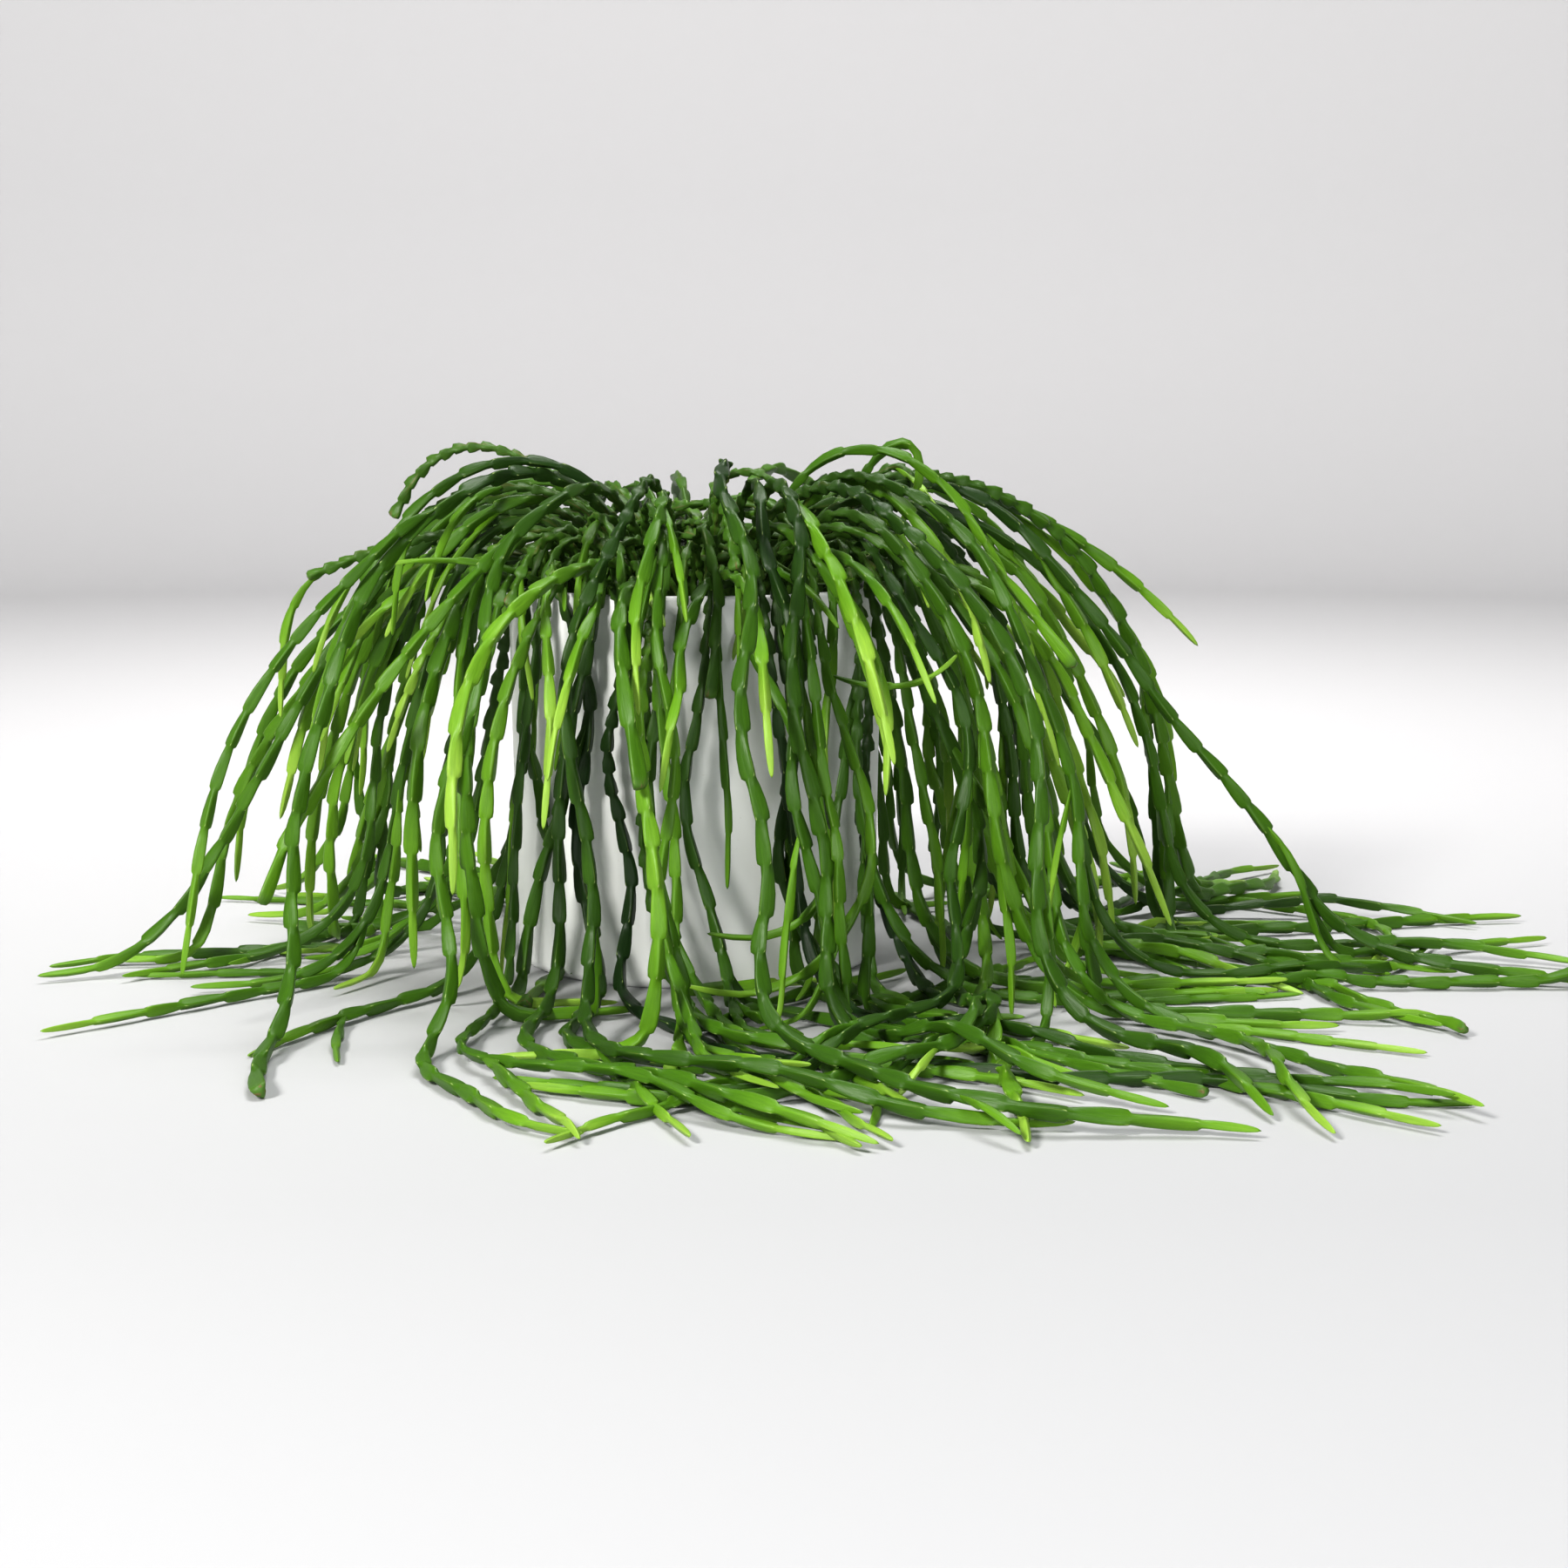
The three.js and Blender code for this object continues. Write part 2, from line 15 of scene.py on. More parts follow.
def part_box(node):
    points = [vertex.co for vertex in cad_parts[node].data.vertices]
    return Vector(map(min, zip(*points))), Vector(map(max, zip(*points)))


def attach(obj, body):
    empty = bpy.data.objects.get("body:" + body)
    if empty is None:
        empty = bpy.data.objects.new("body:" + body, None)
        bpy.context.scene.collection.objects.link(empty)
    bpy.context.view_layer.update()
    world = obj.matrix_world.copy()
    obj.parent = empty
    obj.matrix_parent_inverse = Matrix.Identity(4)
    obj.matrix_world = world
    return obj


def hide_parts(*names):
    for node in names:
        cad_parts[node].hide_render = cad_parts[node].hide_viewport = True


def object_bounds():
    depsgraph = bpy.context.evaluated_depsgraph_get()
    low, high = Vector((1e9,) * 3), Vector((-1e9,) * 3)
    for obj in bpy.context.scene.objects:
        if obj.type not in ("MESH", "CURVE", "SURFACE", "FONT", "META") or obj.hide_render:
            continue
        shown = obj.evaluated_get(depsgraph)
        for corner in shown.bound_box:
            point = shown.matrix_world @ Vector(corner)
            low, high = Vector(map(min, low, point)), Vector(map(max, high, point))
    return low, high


bl_info = {
    "name": "Potted Chain Cactus",
    "version": (1, 0, 0),
    "blender": (4, 5, 0),
    "location": "View3D > Sidebar > Chain Cactus",
    "description": "Makes a chain cactus with linked, trailing stems in a plain white pot",
    "category": "Object",
}

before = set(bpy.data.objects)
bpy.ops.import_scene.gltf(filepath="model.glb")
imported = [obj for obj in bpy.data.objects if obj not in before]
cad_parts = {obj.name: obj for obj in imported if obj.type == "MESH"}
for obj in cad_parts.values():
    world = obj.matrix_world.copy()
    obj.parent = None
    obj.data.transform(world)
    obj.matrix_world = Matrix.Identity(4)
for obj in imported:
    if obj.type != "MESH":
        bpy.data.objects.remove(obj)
CAD_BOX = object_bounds()
POT_LOW, POT_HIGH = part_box("pot")
SOIL_LOW, SOIL_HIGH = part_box("soil")
CUTTINGS = sorted(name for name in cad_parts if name.startswith("cutting_"))

# Pot, from the frame
RIM_RADIUS = POT_HIGH.x
POT_HEIGHT = POT_HIGH.z
BASE_RADIUS = RIM_RADIUS * 0.963
SOIL_RADIUS = SOIL_HIGH.x
SOIL_TOP = SOIL_HIGH.z
FEET_RADIUS = SOIL_RADIUS * 0.8
FEET_DEPTH = 0.002

# Soil: the scales and heights of its lumps, and how far its edge lies below its middle
SOIL_RISE = 0.0014
SOIL_LUMPS = ((38, 0.0022), (120, 0.0013), (420, 0.0007))
SOIL_EDGE_DROP = 0.0035
SOIL_RINGS = 22

# Crumbs on the soil. 6.28 stands for a full turn here and in the waves of branches.
CRUMB_SEED = 5
CRUMB_SIZES = (0.5, 1.25)
CRUMB_ROUGHNESS = 0.3
CRUMB_MARGIN = 0.005
FULL_TURN = 6.28

# Sections of a stem: six ribs of three corners each. A link raises three ribs and the next link the others.
RIBS = 6
RIB_FLANK = math.radians(13)
AROUND = 3 * RIBS
CREST_REACH = 0.97
FLANK_REACH = 0.84
FLANK_LIFT = 0.02
FLAT_REACH = 0.54
SHOOT_FLAT_REACH = 0.62
MOST_TWIST = 4
ODD_WAY = (0.31, 0.95, 0.05)
GRAIN_RADIUS = 0.004
GRAIN_STRETCH = 0.16

# Ends of a stem. The tip's length is a share of the reach there.
FOOT_CAP = 0.0005
GROWING_TIP = 1.6
CUT_TIP = 0.15
LEAST_HEIGHT = 0.0003
LEAST_TIP_HEIGHT = 0.0004

# Places of the sections on a link and on a bead, which is a short old link
ALONG_LINK = np.array([0.0, 0.20, 0.52, 0.80, 0.94])
ALONG_BEAD = np.array([0.0, 0.45, 0.86])
BEAD_SECTIONS_BELOW = 0.0115
BEAD_LENGTHS = (0.017, 0.009)

# Along a link and a bead: how high their own ribs and their neighbours' stand, and how wide they are
PROFILE_PLACES = (0, 0.20, 0.52, 0.80, 0.94, 1)
LINK_RIBS = (0.34, 0.66, 0.93, 1.0, 0.90, 0.36)
BEAD_RIBS = (0.10, 0.48, 0.92, 1.0, 0.84, 0.20)
LINK_WIDTHS = (0.88, 0.93, 0.99, 1.01, 0.99, 0.91)
BEAD_WIDTHS = (0.74, 0.88, 1.0, 1.03, 0.98, 0.80)
NEIGHBOUR_PLACES = (0, 0.20, 0.94, 1)
NEIGHBOUR_RIBS = (0.26, 0.02, 0.06, 0.22)

# Width of a stem, as shares of the rib reach, and the share at its start with the run until it is full
STEM_WIDTHS = (0.80, 1.14)
SHOOT_WIDTHS = (0.52, 0.8)
STARTS = {"main": (0.72, 0.15), "crown": (0.72, 0.15), "fork": (0.5, 0.03), "shoot": (0.5, 0.03)}
TAPER_LENGTH = 0.06
TAPER_SHARE = 0.6
TAPER_OVERRUN = 0.0002

# Length of a link, as shares of a grown link's, and the run with beads on a stem
SHOOT_LINK = 1.15
YOUNG_LINK = 1.35
YOUNG_RUN = 0.14
LINK_VARIATION = (0.82, 1.2)
BEADED_RUN = 0.05
OLD_BEADED_RUN = 0.35
LAST_BEADS_RUN = 0.10

# Age at a stem's end, and its rises: how much, and between which distances from the end
SHOOT_AGES = (0.08, ((0.30, 0.0, 0.07),))
GROWING_AGES = (0.04, ((0.46, 0.005, 0.085), (0.28, 0.06, 0.45)))
CUT_AGES = (0.50, ((0.30, 0.0, 0.4),))
OLD_AGE = 0.25

# Painted light and shade, beside a chance tone for each stem: its place paints a stem lightest outside the
# pot and above the floor, and darker close to the pot's axis and low by the floor, where shade falls
PLACE_PAINTED_LIGHT = 0.42
CHANCE_TONE = 0.58
CHANCE_POWER = 1.4
LIT_DISTANCES = (0.10, 0.20)
LIT_HEIGHTS = (0.01, 0.08)
LEAST_LIT = 0.3

# Cork near the foot, more of it on old stems, and over the scar of a cut. Areoles by the end of a link.
FOOT_CORK = 0.8
FOOT_CORK_RUNS = (0.19, 0.01)
OLD_CORK = 0.3
OLD_CORK_RUNS = (0.4, 0.1)
SCAR_CORK = 1.6
SCAR_LENGTH = 0.004
AREOLES_FROM = 0.9
SHOOT_AREOLE = 0.4

# Middle lines. A lying stem's middle is this share of its reach above the surface.
LINE_STEP = 0.003
FEWEST_STEPS = 8
STEM_SMOOTHING = 0.011
BRANCH_SMOOTHING = 0.008
LYING_STEM = 0.82
LYING_BRANCH = 0.9

# Main stems. A short one that ends this high above the soil is an old, bare arch. Each fork has the least
# length of its stem, and how likely it is beside the first.
SHORT_STEM = 0.25
ARCH_END = 0.022
MOST_AGED = 0.7
SHORT_CUT_SHARE = 0.3
LONG_CUT_SHARE = 0.05
FORKS = ((0.3, 1.0), (0.38, 0.5))

# Growth of branches. Curl and droop are radians a metre, and heights and gaps are shares of the reach.
GROWTH_STEP = 0.004
LEAST_POINTS = 8
HELD_POINTS = 5
MOST_CURL = 6
WAVE_LENGTHS = (0.12, 0.3)
TOPS_ABOVE_RIM = (0.026, 0.056)
TOP_STIFFNESS = 22
LANDING_HEIGHT = 1.6
LANDING_SLOPE = 0.35
CLIMBING_SLOPE = 0.25
RIM_HEIGHT = 1.3
RIM_DEPTH = 0.02
SHOOT_REACH = 0.6
BRANCH_GAP = 1.75
SHOOT_GAP = 1.4
PARTING_ROUNDS = 10
PARTING_STRENGTH = 0.8
CROWN_TURNED_SHARE = 0.45
CROWN_RISES = (0.15, 0.8)
CUT_BRANCH_SHARE = 0.06
END_SHOOT_LENGTHS = (0.03, 0.09)
END_SHOOT_DROOP = 55
END_SHOOT_SMOOTHING = 0.006

# For each kind of branch: where along its stem it starts, its length, its angle in degrees and its droop
BRANCHES = {
    "crown": ((0.03, 0.13), (0.13, 0.36), (10, 60), (8, 17)),
    "fork": ((0.22, 0.78), (0.10, 0.30), (6, 20), (3, 10)),
    "shoot": ((0.22, 0.92), (0.04, 0.13), (12, 34), (9, 22)),
}

# Branches that stand out in the photo: the kind, how old, whether the end is cut, and points in millimetres
CHOSEN_BRANCHES = (
    # A thin young shoot in front of the pot that sags and turns up at its tip
    ("shoot", 0.0, False, (
        (67, -118, 157), (80, -126, 152), (100, -130, 151), (118, -128, 156), (127, -124, 166))),
    # A pale shoot in front of the pot that hangs in a long hook and turns back to the left
    ("shoot", 0.0, False, (
        (34, -126, 176), (42, -142, 150), (55, -153, 122), (66, -160, 95), (69, -163, 72), (61, -164, 52),
        (45, -164, 41), (27, -163, 38), (11, -162, 42))),
    # A narrow loop above the right of the crown
    ("fork", 0.0, False, (
        (78, -30, 232), (86, -34, 252), (96, -36, 267), (107, -37, 271), (115, -37, 262), (114, -34, 246),
        (106, -30, 230), (100, -34, 214))),
    # A stem that clears the right of the crown and falls outside the rest
    ("fork", 0.0, False, (
        (40, -45, 238), (60, -52, 257), (86, -60, 264), (112, -68, 255), (134, -78, 231), (152, -88, 196),
        (166, -96, 152), (176, -100, 112))),
    # A beaded arch over the left of the crown, cut at its end
    ("main", 1.0, True, (
        (-62, -40, 240), (-80, -46, 256), (-102, -52, 265), (-122, -57, 261), (-137, -60, 247),
        (-144, -62, 228))),
    # A beaded arch over the middle of the crown
    ("main", 0.9, True, (
        (4, -52, 226), (10, -60, 245), (24, -67, 255), (40, -73, 250), (50, -80, 235), (55, -88, 212),
        (57, -96, 184), (58, -104, 156))),
    # A stem that leaves the left of the crown low and far out
    ("fork", 0.0, False, (
        (-30, -50, 236), (-56, -58, 252), (-86, -68, 258), (-116, -78, 248), (-142, -86, 222),
        (-162, -94, 186), (-176, -100, 146), (-184, -104, 104))),
)

# Backdrop
BEND_RADIUS = 0.6
BEND_STEPS = 8

# Lights: the name, place, aim, size, share of the key light's power, and colour
LIGHTS = (
    ("key_light", (-1.3, -1.9, 1.55), (0, 0, 0.12), 0.6, 1.0, (1.0, 0.985, 0.96)),
    ("fill_light", (0.8, -2.2, 0.75), (0, 0, 0.12), 1.2, 0.26, (0.97, 0.98, 1.0)),
    ("top_light", (0.2, 0.5, 2.3), (0, 0, 0.1), 1.4, 0.5, (1.0, 1.0, 1.0)),
    ("wall_light", (0, 0.6, 2.1), (0, 3.0, 0.9), 1.6, 0.85, (1.0, 0.97, 0.95)),
)


# Small helpers

def smooth_between(value, low, high):
    """0 below low, 1 above high, and a smooth rise in between."""
    share = np.clip((value - low) / (high - low), 0.0, 1.0)
    return share * share * (3 - 2 * share)


def mixed(low, high, share):
    return low + (high - low) * share


def unit(vectors):
    return vectors / np.maximum(np.linalg.norm(vectors, axis=-1, keepdims=True), 1e-12)


def runs_along(points):
    """How far along their line each of the points lies."""
    return np.concatenate([[0], np.cumsum(np.linalg.norm(np.diff(points, axis=0), axis=1))])


def interpolated(runs, known_runs, vectors):
    """The vectors, which are given at the known runs, at other runs."""
    return np.stack([np.interp(runs, known_runs, vectors[:, axis]) for axis in range(3)], axis=1)


def settings():
    return bpy.context.scene.chain_cactus


def start_fresh():
    """Leaves edit mode and deselects everything, because operators act on all that is selected."""
    if bpy.context.object and bpy.context.object.mode != "OBJECT":
        bpy.ops.object.mode_set(mode="OBJECT")
    bpy.ops.object.select_all(action="DESELECT")


def only_select(kind, test):
    """In edit mode, selects just the faces or edges that pass the test."""
    bpy.ops.mesh.select_all(action="DESELECT")
    bpy.ops.mesh.select_mode(type="FACE" if kind == "faces" else "EDGE")
    mesh = bmesh.from_edit_mesh(bpy.context.object.data)
    for element in getattr(mesh, kind):
        if test(element):
            element.select_set(True)
    mesh.select_flush_mode()
    bmesh.update_edit_mesh(bpy.context.object.data)


def new_object(name, data):
    made = bpy.data.objects.new(name, data)
    bpy.context.scene.collection.objects.link(made)
    return made


def settle_in_place(piece):
    """Puts the piece's place into its mesh, so that its object sits unturned at the origin."""
    start_fresh()
    piece.select_set(True)
    bpy.context.view_layer.objects.active = piece
    bpy.ops.object.transform_apply(location=True, rotation=True, scale=True)


def hand_over(piece, material, slot, *nodes):
    """Gives a finished piece its material and body, and hides the CAD nodes that it stands for."""
    piece.data.materials.clear()
    piece.data.materials.append(material)
    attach(piece, "root")
    if nodes:
        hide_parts(*nodes)


# Shader maths

class Value:
    """A socket of a material, with arithmetic that adds Math nodes."""

    def __init__(self, shader, socket):
        self.shader = shader
        self.socket = socket

    def maths(self, operation, first, second):
        return self.shader.node("ShaderNodeMath", {"operation": operation}, {0: first, 1: second})

    def __add__(self, other):
        return self.maths("ADD", self, other)

    __radd__ = __add__

    def __sub__(self, other):
        return self.maths("SUBTRACT", self, other)

    def __rsub__(self, other):
        return self.maths("SUBTRACT", other, self)

    def __mul__(self, other):
        return self.maths("MULTIPLY", self, other)

    __rmul__ = __mul__

    def between(self, low, high):
        """0 below low, 1 above high."""
        return self.shader.node(
            "ShaderNodeMapRange", {"interpolation_type": "SMOOTHSTEP"},
            {"Value": self, "From Min": low, "From Max": high}, "Result")


class Shader:
    """A new material and its nodes."""

    def __init__(self, name):
        self.material = bpy.data.materials.new(name)
        self.material.use_nodes = True
        self.tree = self.material.node_tree
        self.surface = self.tree.nodes["Principled BSDF"]

    def node(self, kind, options=None, inputs=None, output=0):
        """Adds any node: its options are set first, then its inputs are filled or linked."""
        made = self.tree.nodes.new(kind)
        for name, value in (options or {}).items():
            if name == "stops":
                self.fill_ramp(made.color_ramp, value)
            else:
                setattr(made, name, value)
        for name, value in (inputs or {}).items():
            self.fill(made.inputs[name], value)
        return Value(self, made.outputs[output])

    def fill_ramp(self, ramp, stops):
        for index, (place, colour) in enumerate(stops):
            element = ramp.elements[index] if index < 2 else ramp.elements.new(place)
            element.position = place
            element.color = (*colour, 1)

    def fill(self, socket, value):
        if isinstance(value, Value):
            self.tree.links.new(value.socket, socket)
        elif socket.type == "RGBA" and len(value) == 3:
            socket.default_value = (*value, 1)
        else:
            socket.default_value = value

    def place(self):
        return self.node("ShaderNodeTexCoord", output="Object")

    def attribute(self, name, output="Fac"):
        return self.node("ShaderNodeAttribute", {"attribute_name": name}, {}, output)

    def noise(self, vector, scale, detail=2.0, roughness=0.5):
        inputs = {"Vector": vector, "Scale": scale, "Detail": detail, "Roughness": roughness}
        return self.node("ShaderNodeTexNoise", {}, inputs)

    def colour_mix(self, factor, first, second, blend="MIX"):
        """Mixes two colours. In a Mix node of colours, the factor is input 0 and the colours 6 and 7."""
        return self.node(
            "ShaderNodeMix", {"data_type": "RGBA", "blend_type": blend, "clamp_factor": True},
            {0: factor, 6: first, 7: second}, 2)

    def bump(self, height, strength, distance):
        inputs = {"Height": height, "Strength": strength, "Distance": distance}
        return self.node("ShaderNodeBump", {}, inputs)

    def finish(self, **inputs):
        """Fills the surface shader. Names are its sockets' names with _ for a space."""
        for name, value in inputs.items():
            self.fill(self.surface.inputs[name.replace("_", " ")], value)
        return self.material


def glaze_material():
    """Satin white glaze: almost even, with faint pooling and a very fine orange-peel surface."""
    look = settings().pot
    shader = Shader("pot_glaze")
    place = shader.place()
    pooling = shader.noise(place, scale=22.0, detail=3.0)
    peel = shader.noise(place, scale=900.0)
    dust = shader.noise(place, scale=260.0, detail=4.0, roughness=0.65).between(0.66, 0.74)
    shade = tuple(channel * 0.95 for channel in look.colour)
    colour = shader.colour_mix(pooling, shade, tuple(look.colour))
    colour = shader.colour_mix(dust * 0.12, colour, (0.42, 0.37, 0.30))
    return shader.finish(
        Base_Color=colour,
        Roughness=look.roughness + (pooling - 0.5) * 0.16,
        Normal=shader.bump(peel, strength=0.08, distance=0.0004),
        Coat_Weight=0.25,
        Coat_Roughness=0.28,
    )


def soil_material():
    """Damp dark potting mix with lighter fibres."""
    look = settings().soil
    shader = Shader("potting_soil")
    place = shader.place()
    grains = shader.noise(place, scale=420.0, detail=5.0, roughness=0.7)
    patches = shader.noise(place, scale=60.0, detail=3.0)
    dark = tuple(channel * 0.35 for channel in look.colour)
    colour = shader.colour_mix(grains.between(0.35, 0.68), dark, tuple(look.colour))
    colour = shader.colour_mix(patches.between(0.55, 0.75) * 0.5, colour, (0.16, 0.105, 0.06))
    return shader.finish(
        Base_Color=colour,
        Roughness=0.95 - grains * 0.2,
        Normal=shader.bump(grains, strength=0.9, distance=0.0015),
    )


def crumb_material(name, colour):
    """Bark or perlite: one colour, broken up by fine grain."""
    shader = Shader(name)
    place = shader.place()
    grain = shader.noise(place, scale=700.0, detail=4.0, roughness=0.6)
    dark = tuple(channel * 0.45 for channel in colour)
    return shader.finish(
        Base_Color=shader.colour_mix(grain.between(0.3, 0.7), dark, colour),
        Roughness=0.9,
        Normal=shader.bump(grain, strength=0.6, distance=0.0008),
    )


def stem_material():
    """Waxy green skin. The meshes carry age, painted light and shade with tone, rib, areole, cork and a grain
    along the stem.
    """
    look = settings().stems
    shader = Shader("stem_skin")
    age, sun, rib, areole, cork = map(shader.attribute, ("age", "sun", "rib", "areole", "cork"))
    grain = shader.attribute("grain", "Vector")
    streaks = shader.noise(grain, scale=900.0, detail=3.0, roughness=0.6)
    mottle = shader.noise(grain, scale=260.0)

    # Painted light and shade: stems in shade by the pot's axis and the floor are painted toward the dark old
    # colours, and stems in the light toward the young ones, with a chance tone for each stem; each stem is
    # also mottled a little
    age_and_shade = age + (mottle - 0.5) * 0.16 - (sun - 0.47) * 0.72
    colour = shader.node("ShaderNodeValToRGB", {"stops": [
        (0.0, tuple(look.tip_colour)),
        (0.22, tuple(look.young_colour)),
        (0.56, tuple(look.grown_colour)),
        (1.0, tuple(look.old_colour)),
    ]}, {"Fac": age_and_shade}, "Color")

    # Lighter streaks, a painted highlight of paler green along the ribs' crests, and on some stems a red
    # blush along the ribs
    colour = shader.colour_mix((streaks - 0.40) * 1.4, colour, (1.38, 1.34, 1.1), "MULTIPLY")
    colour = shader.colour_mix(rib.between(0.72, 1.0) * 0.28, colour, (0.26, 0.42, 0.10))
    edge = rib.between(0.82, 1.0) * shader.attribute("blush")
    colour = shader.colour_mix(edge * 0.6, colour, (0.17, 0.075, 0.02))

    # Pale areoles, dull green cork near the foot, and flecks of bark where it is thickest
    colour = shader.colour_mix(areole.between(0.45, 0.95) * 0.7, colour, (0.40, 0.50, 0.18))
    colour = shader.colour_mix(cork * 0.75, colour, (0.072, 0.165, 0.020))
    flecks = shader.noise(grain, scale=330.0, detail=4.0, roughness=0.65).between(0.53, 0.68)
    bark = cork * cork * flecks
    colour = shader.colour_mix(bark, colour, (0.15, 0.125, 0.04))
    return shader.finish(
        Base_Color=colour,
        Roughness=0.42,
        Normal=shader.bump(streaks + bark, strength=0.32, distance=0.0005),
        Specular_IOR_Level=0.27,
    )


# Pot and soil

def cylinder(name, radius, low, high):
    """A cylinder on the pot's axis, left in edit mode."""
    start_fresh()
    bpy.ops.mesh.primitive_cylinder_add(
        vertices=128, radius=radius, depth=high - low, location=(0, 0, low + (high - low) / 2))
    made = bpy.context.object
    made.name = name
    settle_in_place(made)
    bpy.ops.object.mode_set(mode="EDIT")
    return made


def widen(share):
    """In edit mode, makes what is selected wider about its middle."""
    bpy.ops.transform.resize(value=(share, share, 1))


def pot_piece():
    """A turned pot: a cylinder whose top is widened, inset and sunk, with rounded base and rim."""
    look = settings().pot
    pot = cylinder("white_pot", BASE_RADIUS, 0, POT_HEIGHT)
    only_select("faces", lambda face: face.normal.z > 0.9)
    widen(RIM_RADIUS / BASE_RADIUS)
    bpy.ops.mesh.inset(thickness=look.wall)
    bpy.ops.mesh.extrude_region_move(
        TRANSFORM_OT_translate={"value": (0, 0, look.floor - POT_HEIGHT)})
    widen((BASE_RADIUS - look.wall) / (RIM_RADIUS - look.wall))

    def on_level(edge, height):
        return all(abs(vertex.co.z - height) < 1e-5 for vertex in edge.verts)

    only_select("edges", lambda edge: on_level(edge, 0))
    bpy.ops.mesh.bevel(offset=look.base_rounding, segments=6)
    only_select("edges", lambda edge: on_level(edge, POT_HEIGHT))
    bpy.ops.mesh.bevel(offset=look.rim_rounding, segments=4)
    bpy.ops.object.mode_set(mode="OBJECT")
    bpy.ops.object.shade_smooth_by_angle(angle=math.radians(35))
    hand_over(pot, glaze_material(), "pot_glaze", "pot")


def soil_height(x, y):
    """How far the soil's lumps and grains rise above its level, or fall below it at its edge."""
    coarse, middle, fine = (noise.noise(Vector((x, y, 0)) * scale) * height for scale, height in SOIL_LUMPS)
    edge = math.hypot(x, y) / SOIL_RADIUS
    return SOIL_RISE + (coarse + middle) + fine - SOIL_EDGE_DROP * edge ** 6


def soil_piece():
    """The fill of potting mix: a cylinder whose top is inset into rings and then roughened."""
    soil = cylinder("potting_soil", SOIL_RADIUS, SOIL_LOW.z, SOIL_TOP)
    only_select("faces", lambda face: face.normal.z < -0.9)
    widen((BASE_RADIUS - RIM_RADIUS + SOIL_RADIUS) / SOIL_RADIUS)
    only_select("faces", lambda face: face.normal.z > 0.9)
    for _ in range(SOIL_RINGS):
        bpy.ops.mesh.inset(thickness=SOIL_RADIUS / (SOIL_RINGS + 1))
    bpy.ops.object.mode_set(mode="OBJECT")
    for vertex in soil.data.vertices:
        if vertex.co.z > SOIL_TOP - 1e-4:
            vertex.co.z += soil_height(vertex.co.x, vertex.co.y)
    soil.data.shade_smooth()
    hand_over(soil, soil_material(), "potting_soil", "soil")


def crumb_pieces():
    """Bark chips and a little perlite on the soil, each a small roughened stone shape."""
    look = settings().soil
    draw = random.Random(CRUMB_SEED)
    # Each kind's name, number, colour and stretch along its axes
    kinds = (
        ("bark_chips", look.crumbs, (0.11, 0.062, 0.032), (1.0, 0.62, 0.4)),
        ("perlite_grains", look.crumbs // 6, (0.62, 0.60, 0.54), (0.8, 0.75, 0.6)),
    )
    for name, count, colour, stretch in kinds:
        start_fresh()
        bpy.ops.mesh.primitive_ico_sphere_add(subdivisions=1, radius=look.crumb_size)
        stone = bpy.context.object
        corners = np.array([vertex.co for vertex in stone.data.vertices])
        faces = [tuple(face.vertices) for face in stone.data.polygons]
        bpy.data.objects.remove(stone)
        places, shapes = [], []
        for index in range(count):
            away = (SOIL_RADIUS - CRUMB_MARGIN) * math.sqrt(draw.random())
            angle = draw.uniform(0, 2 * math.pi)
            x, y = away * math.cos(angle), away * math.sin(angle)
            turn = np.array(Euler([draw.uniform(0, FULL_TURN) for _ in range(3)]).to_matrix())
            rough = 1 + CRUMB_ROUGHNESS * np.array([draw.uniform(-1, 1) for _ in corners])[:, None]
            sizes = np.array(stretch) * draw.uniform(*CRUMB_SIZES)
            shape = (corners * rough * sizes) @ turn.T
            places.append(shape + [x, y, SOIL_TOP + soil_height(x, y) + look.crumb_size * 0.1])
            shapes += [tuple(corner + index * len(corners) for corner in face) for face in faces]
        mesh = bpy.data.meshes.new(name)
        mesh.from_pydata(np.concatenate(places).tolist(), [], shapes)
        hand_over(new_object(name, mesh), crumb_material(name, colour), "potting_soil")


# Middle lines of the stems

def middle_line(name):
    """The middles of a cutting's sections, from one tip through its foot to the other tip.

    Its frame solid has three corners to a section, so each ring of three is a step along it."""
    mesh = bmesh.new()
    mesh.from_mesh(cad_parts[name].data)
    bmesh.ops.remove_doubles(mesh, verts=mesh.verts, dist=1e-5)
    end = min(mesh.faces, key=lambda face: sum(len(vertex.link_edges) for vertex in face.verts))
    ring, seen, middles = list(end.verts), set(end.verts), []
    while ring:
        if len(ring) != 3:
            raise RuntimeError(f"{name}: a section of its frame solid has {len(ring)} corners")
        middles.append(np.mean([vertex.co for vertex in ring], axis=0))
        beyond = {edge.other_vert(vertex) for vertex in ring for edge in vertex.link_edges} - seen
        seen |= beyond
        ring = sorted(beyond, key=lambda vertex: vertex.index)
    mesh.free()
    return np.array(middles)


def two_stems(name):
    """A cutting's two stems, each from the foot to its tip."""
    middles = middle_line(name)
    from_axis = np.hypot(middles[:, 0], middles[:, 1])
    inside = (from_axis < FEET_RADIUS) & (middles[:, 2] > SOIL_TOP - FEET_DEPTH)
    foot = min(np.flatnonzero(inside), key=lambda index: middles[index, 2])
    return middles[foot::-1], middles[foot:]


def smoothed(points, spread=STEM_SMOOTHING):
    """The line through the points with its corners rounded off, at even steps."""
    run = runs_along(points)
    count = max(int(run[-1] / LINE_STEP), FEWEST_STEPS)
    line = interpolated(np.linspace(0, run[-1], count + 1), run, points)
    reach = min(int(3 * spread / LINE_STEP), count - 1)
    weights = np.exp(-0.5 * (np.arange(-reach, reach + 1) * LINE_STEP / spread) ** 2)
    weights /= weights.sum()
    before = 2 * line[0] - line[reach:0:-1]
    after = 2 * line[-1] - line[-2:-reach - 2:-1]
    padded = np.vstack([before, line, after])
    return np.stack([np.convolve(padded[:, axis], weights, "valid") for axis in range(3)], axis=1)


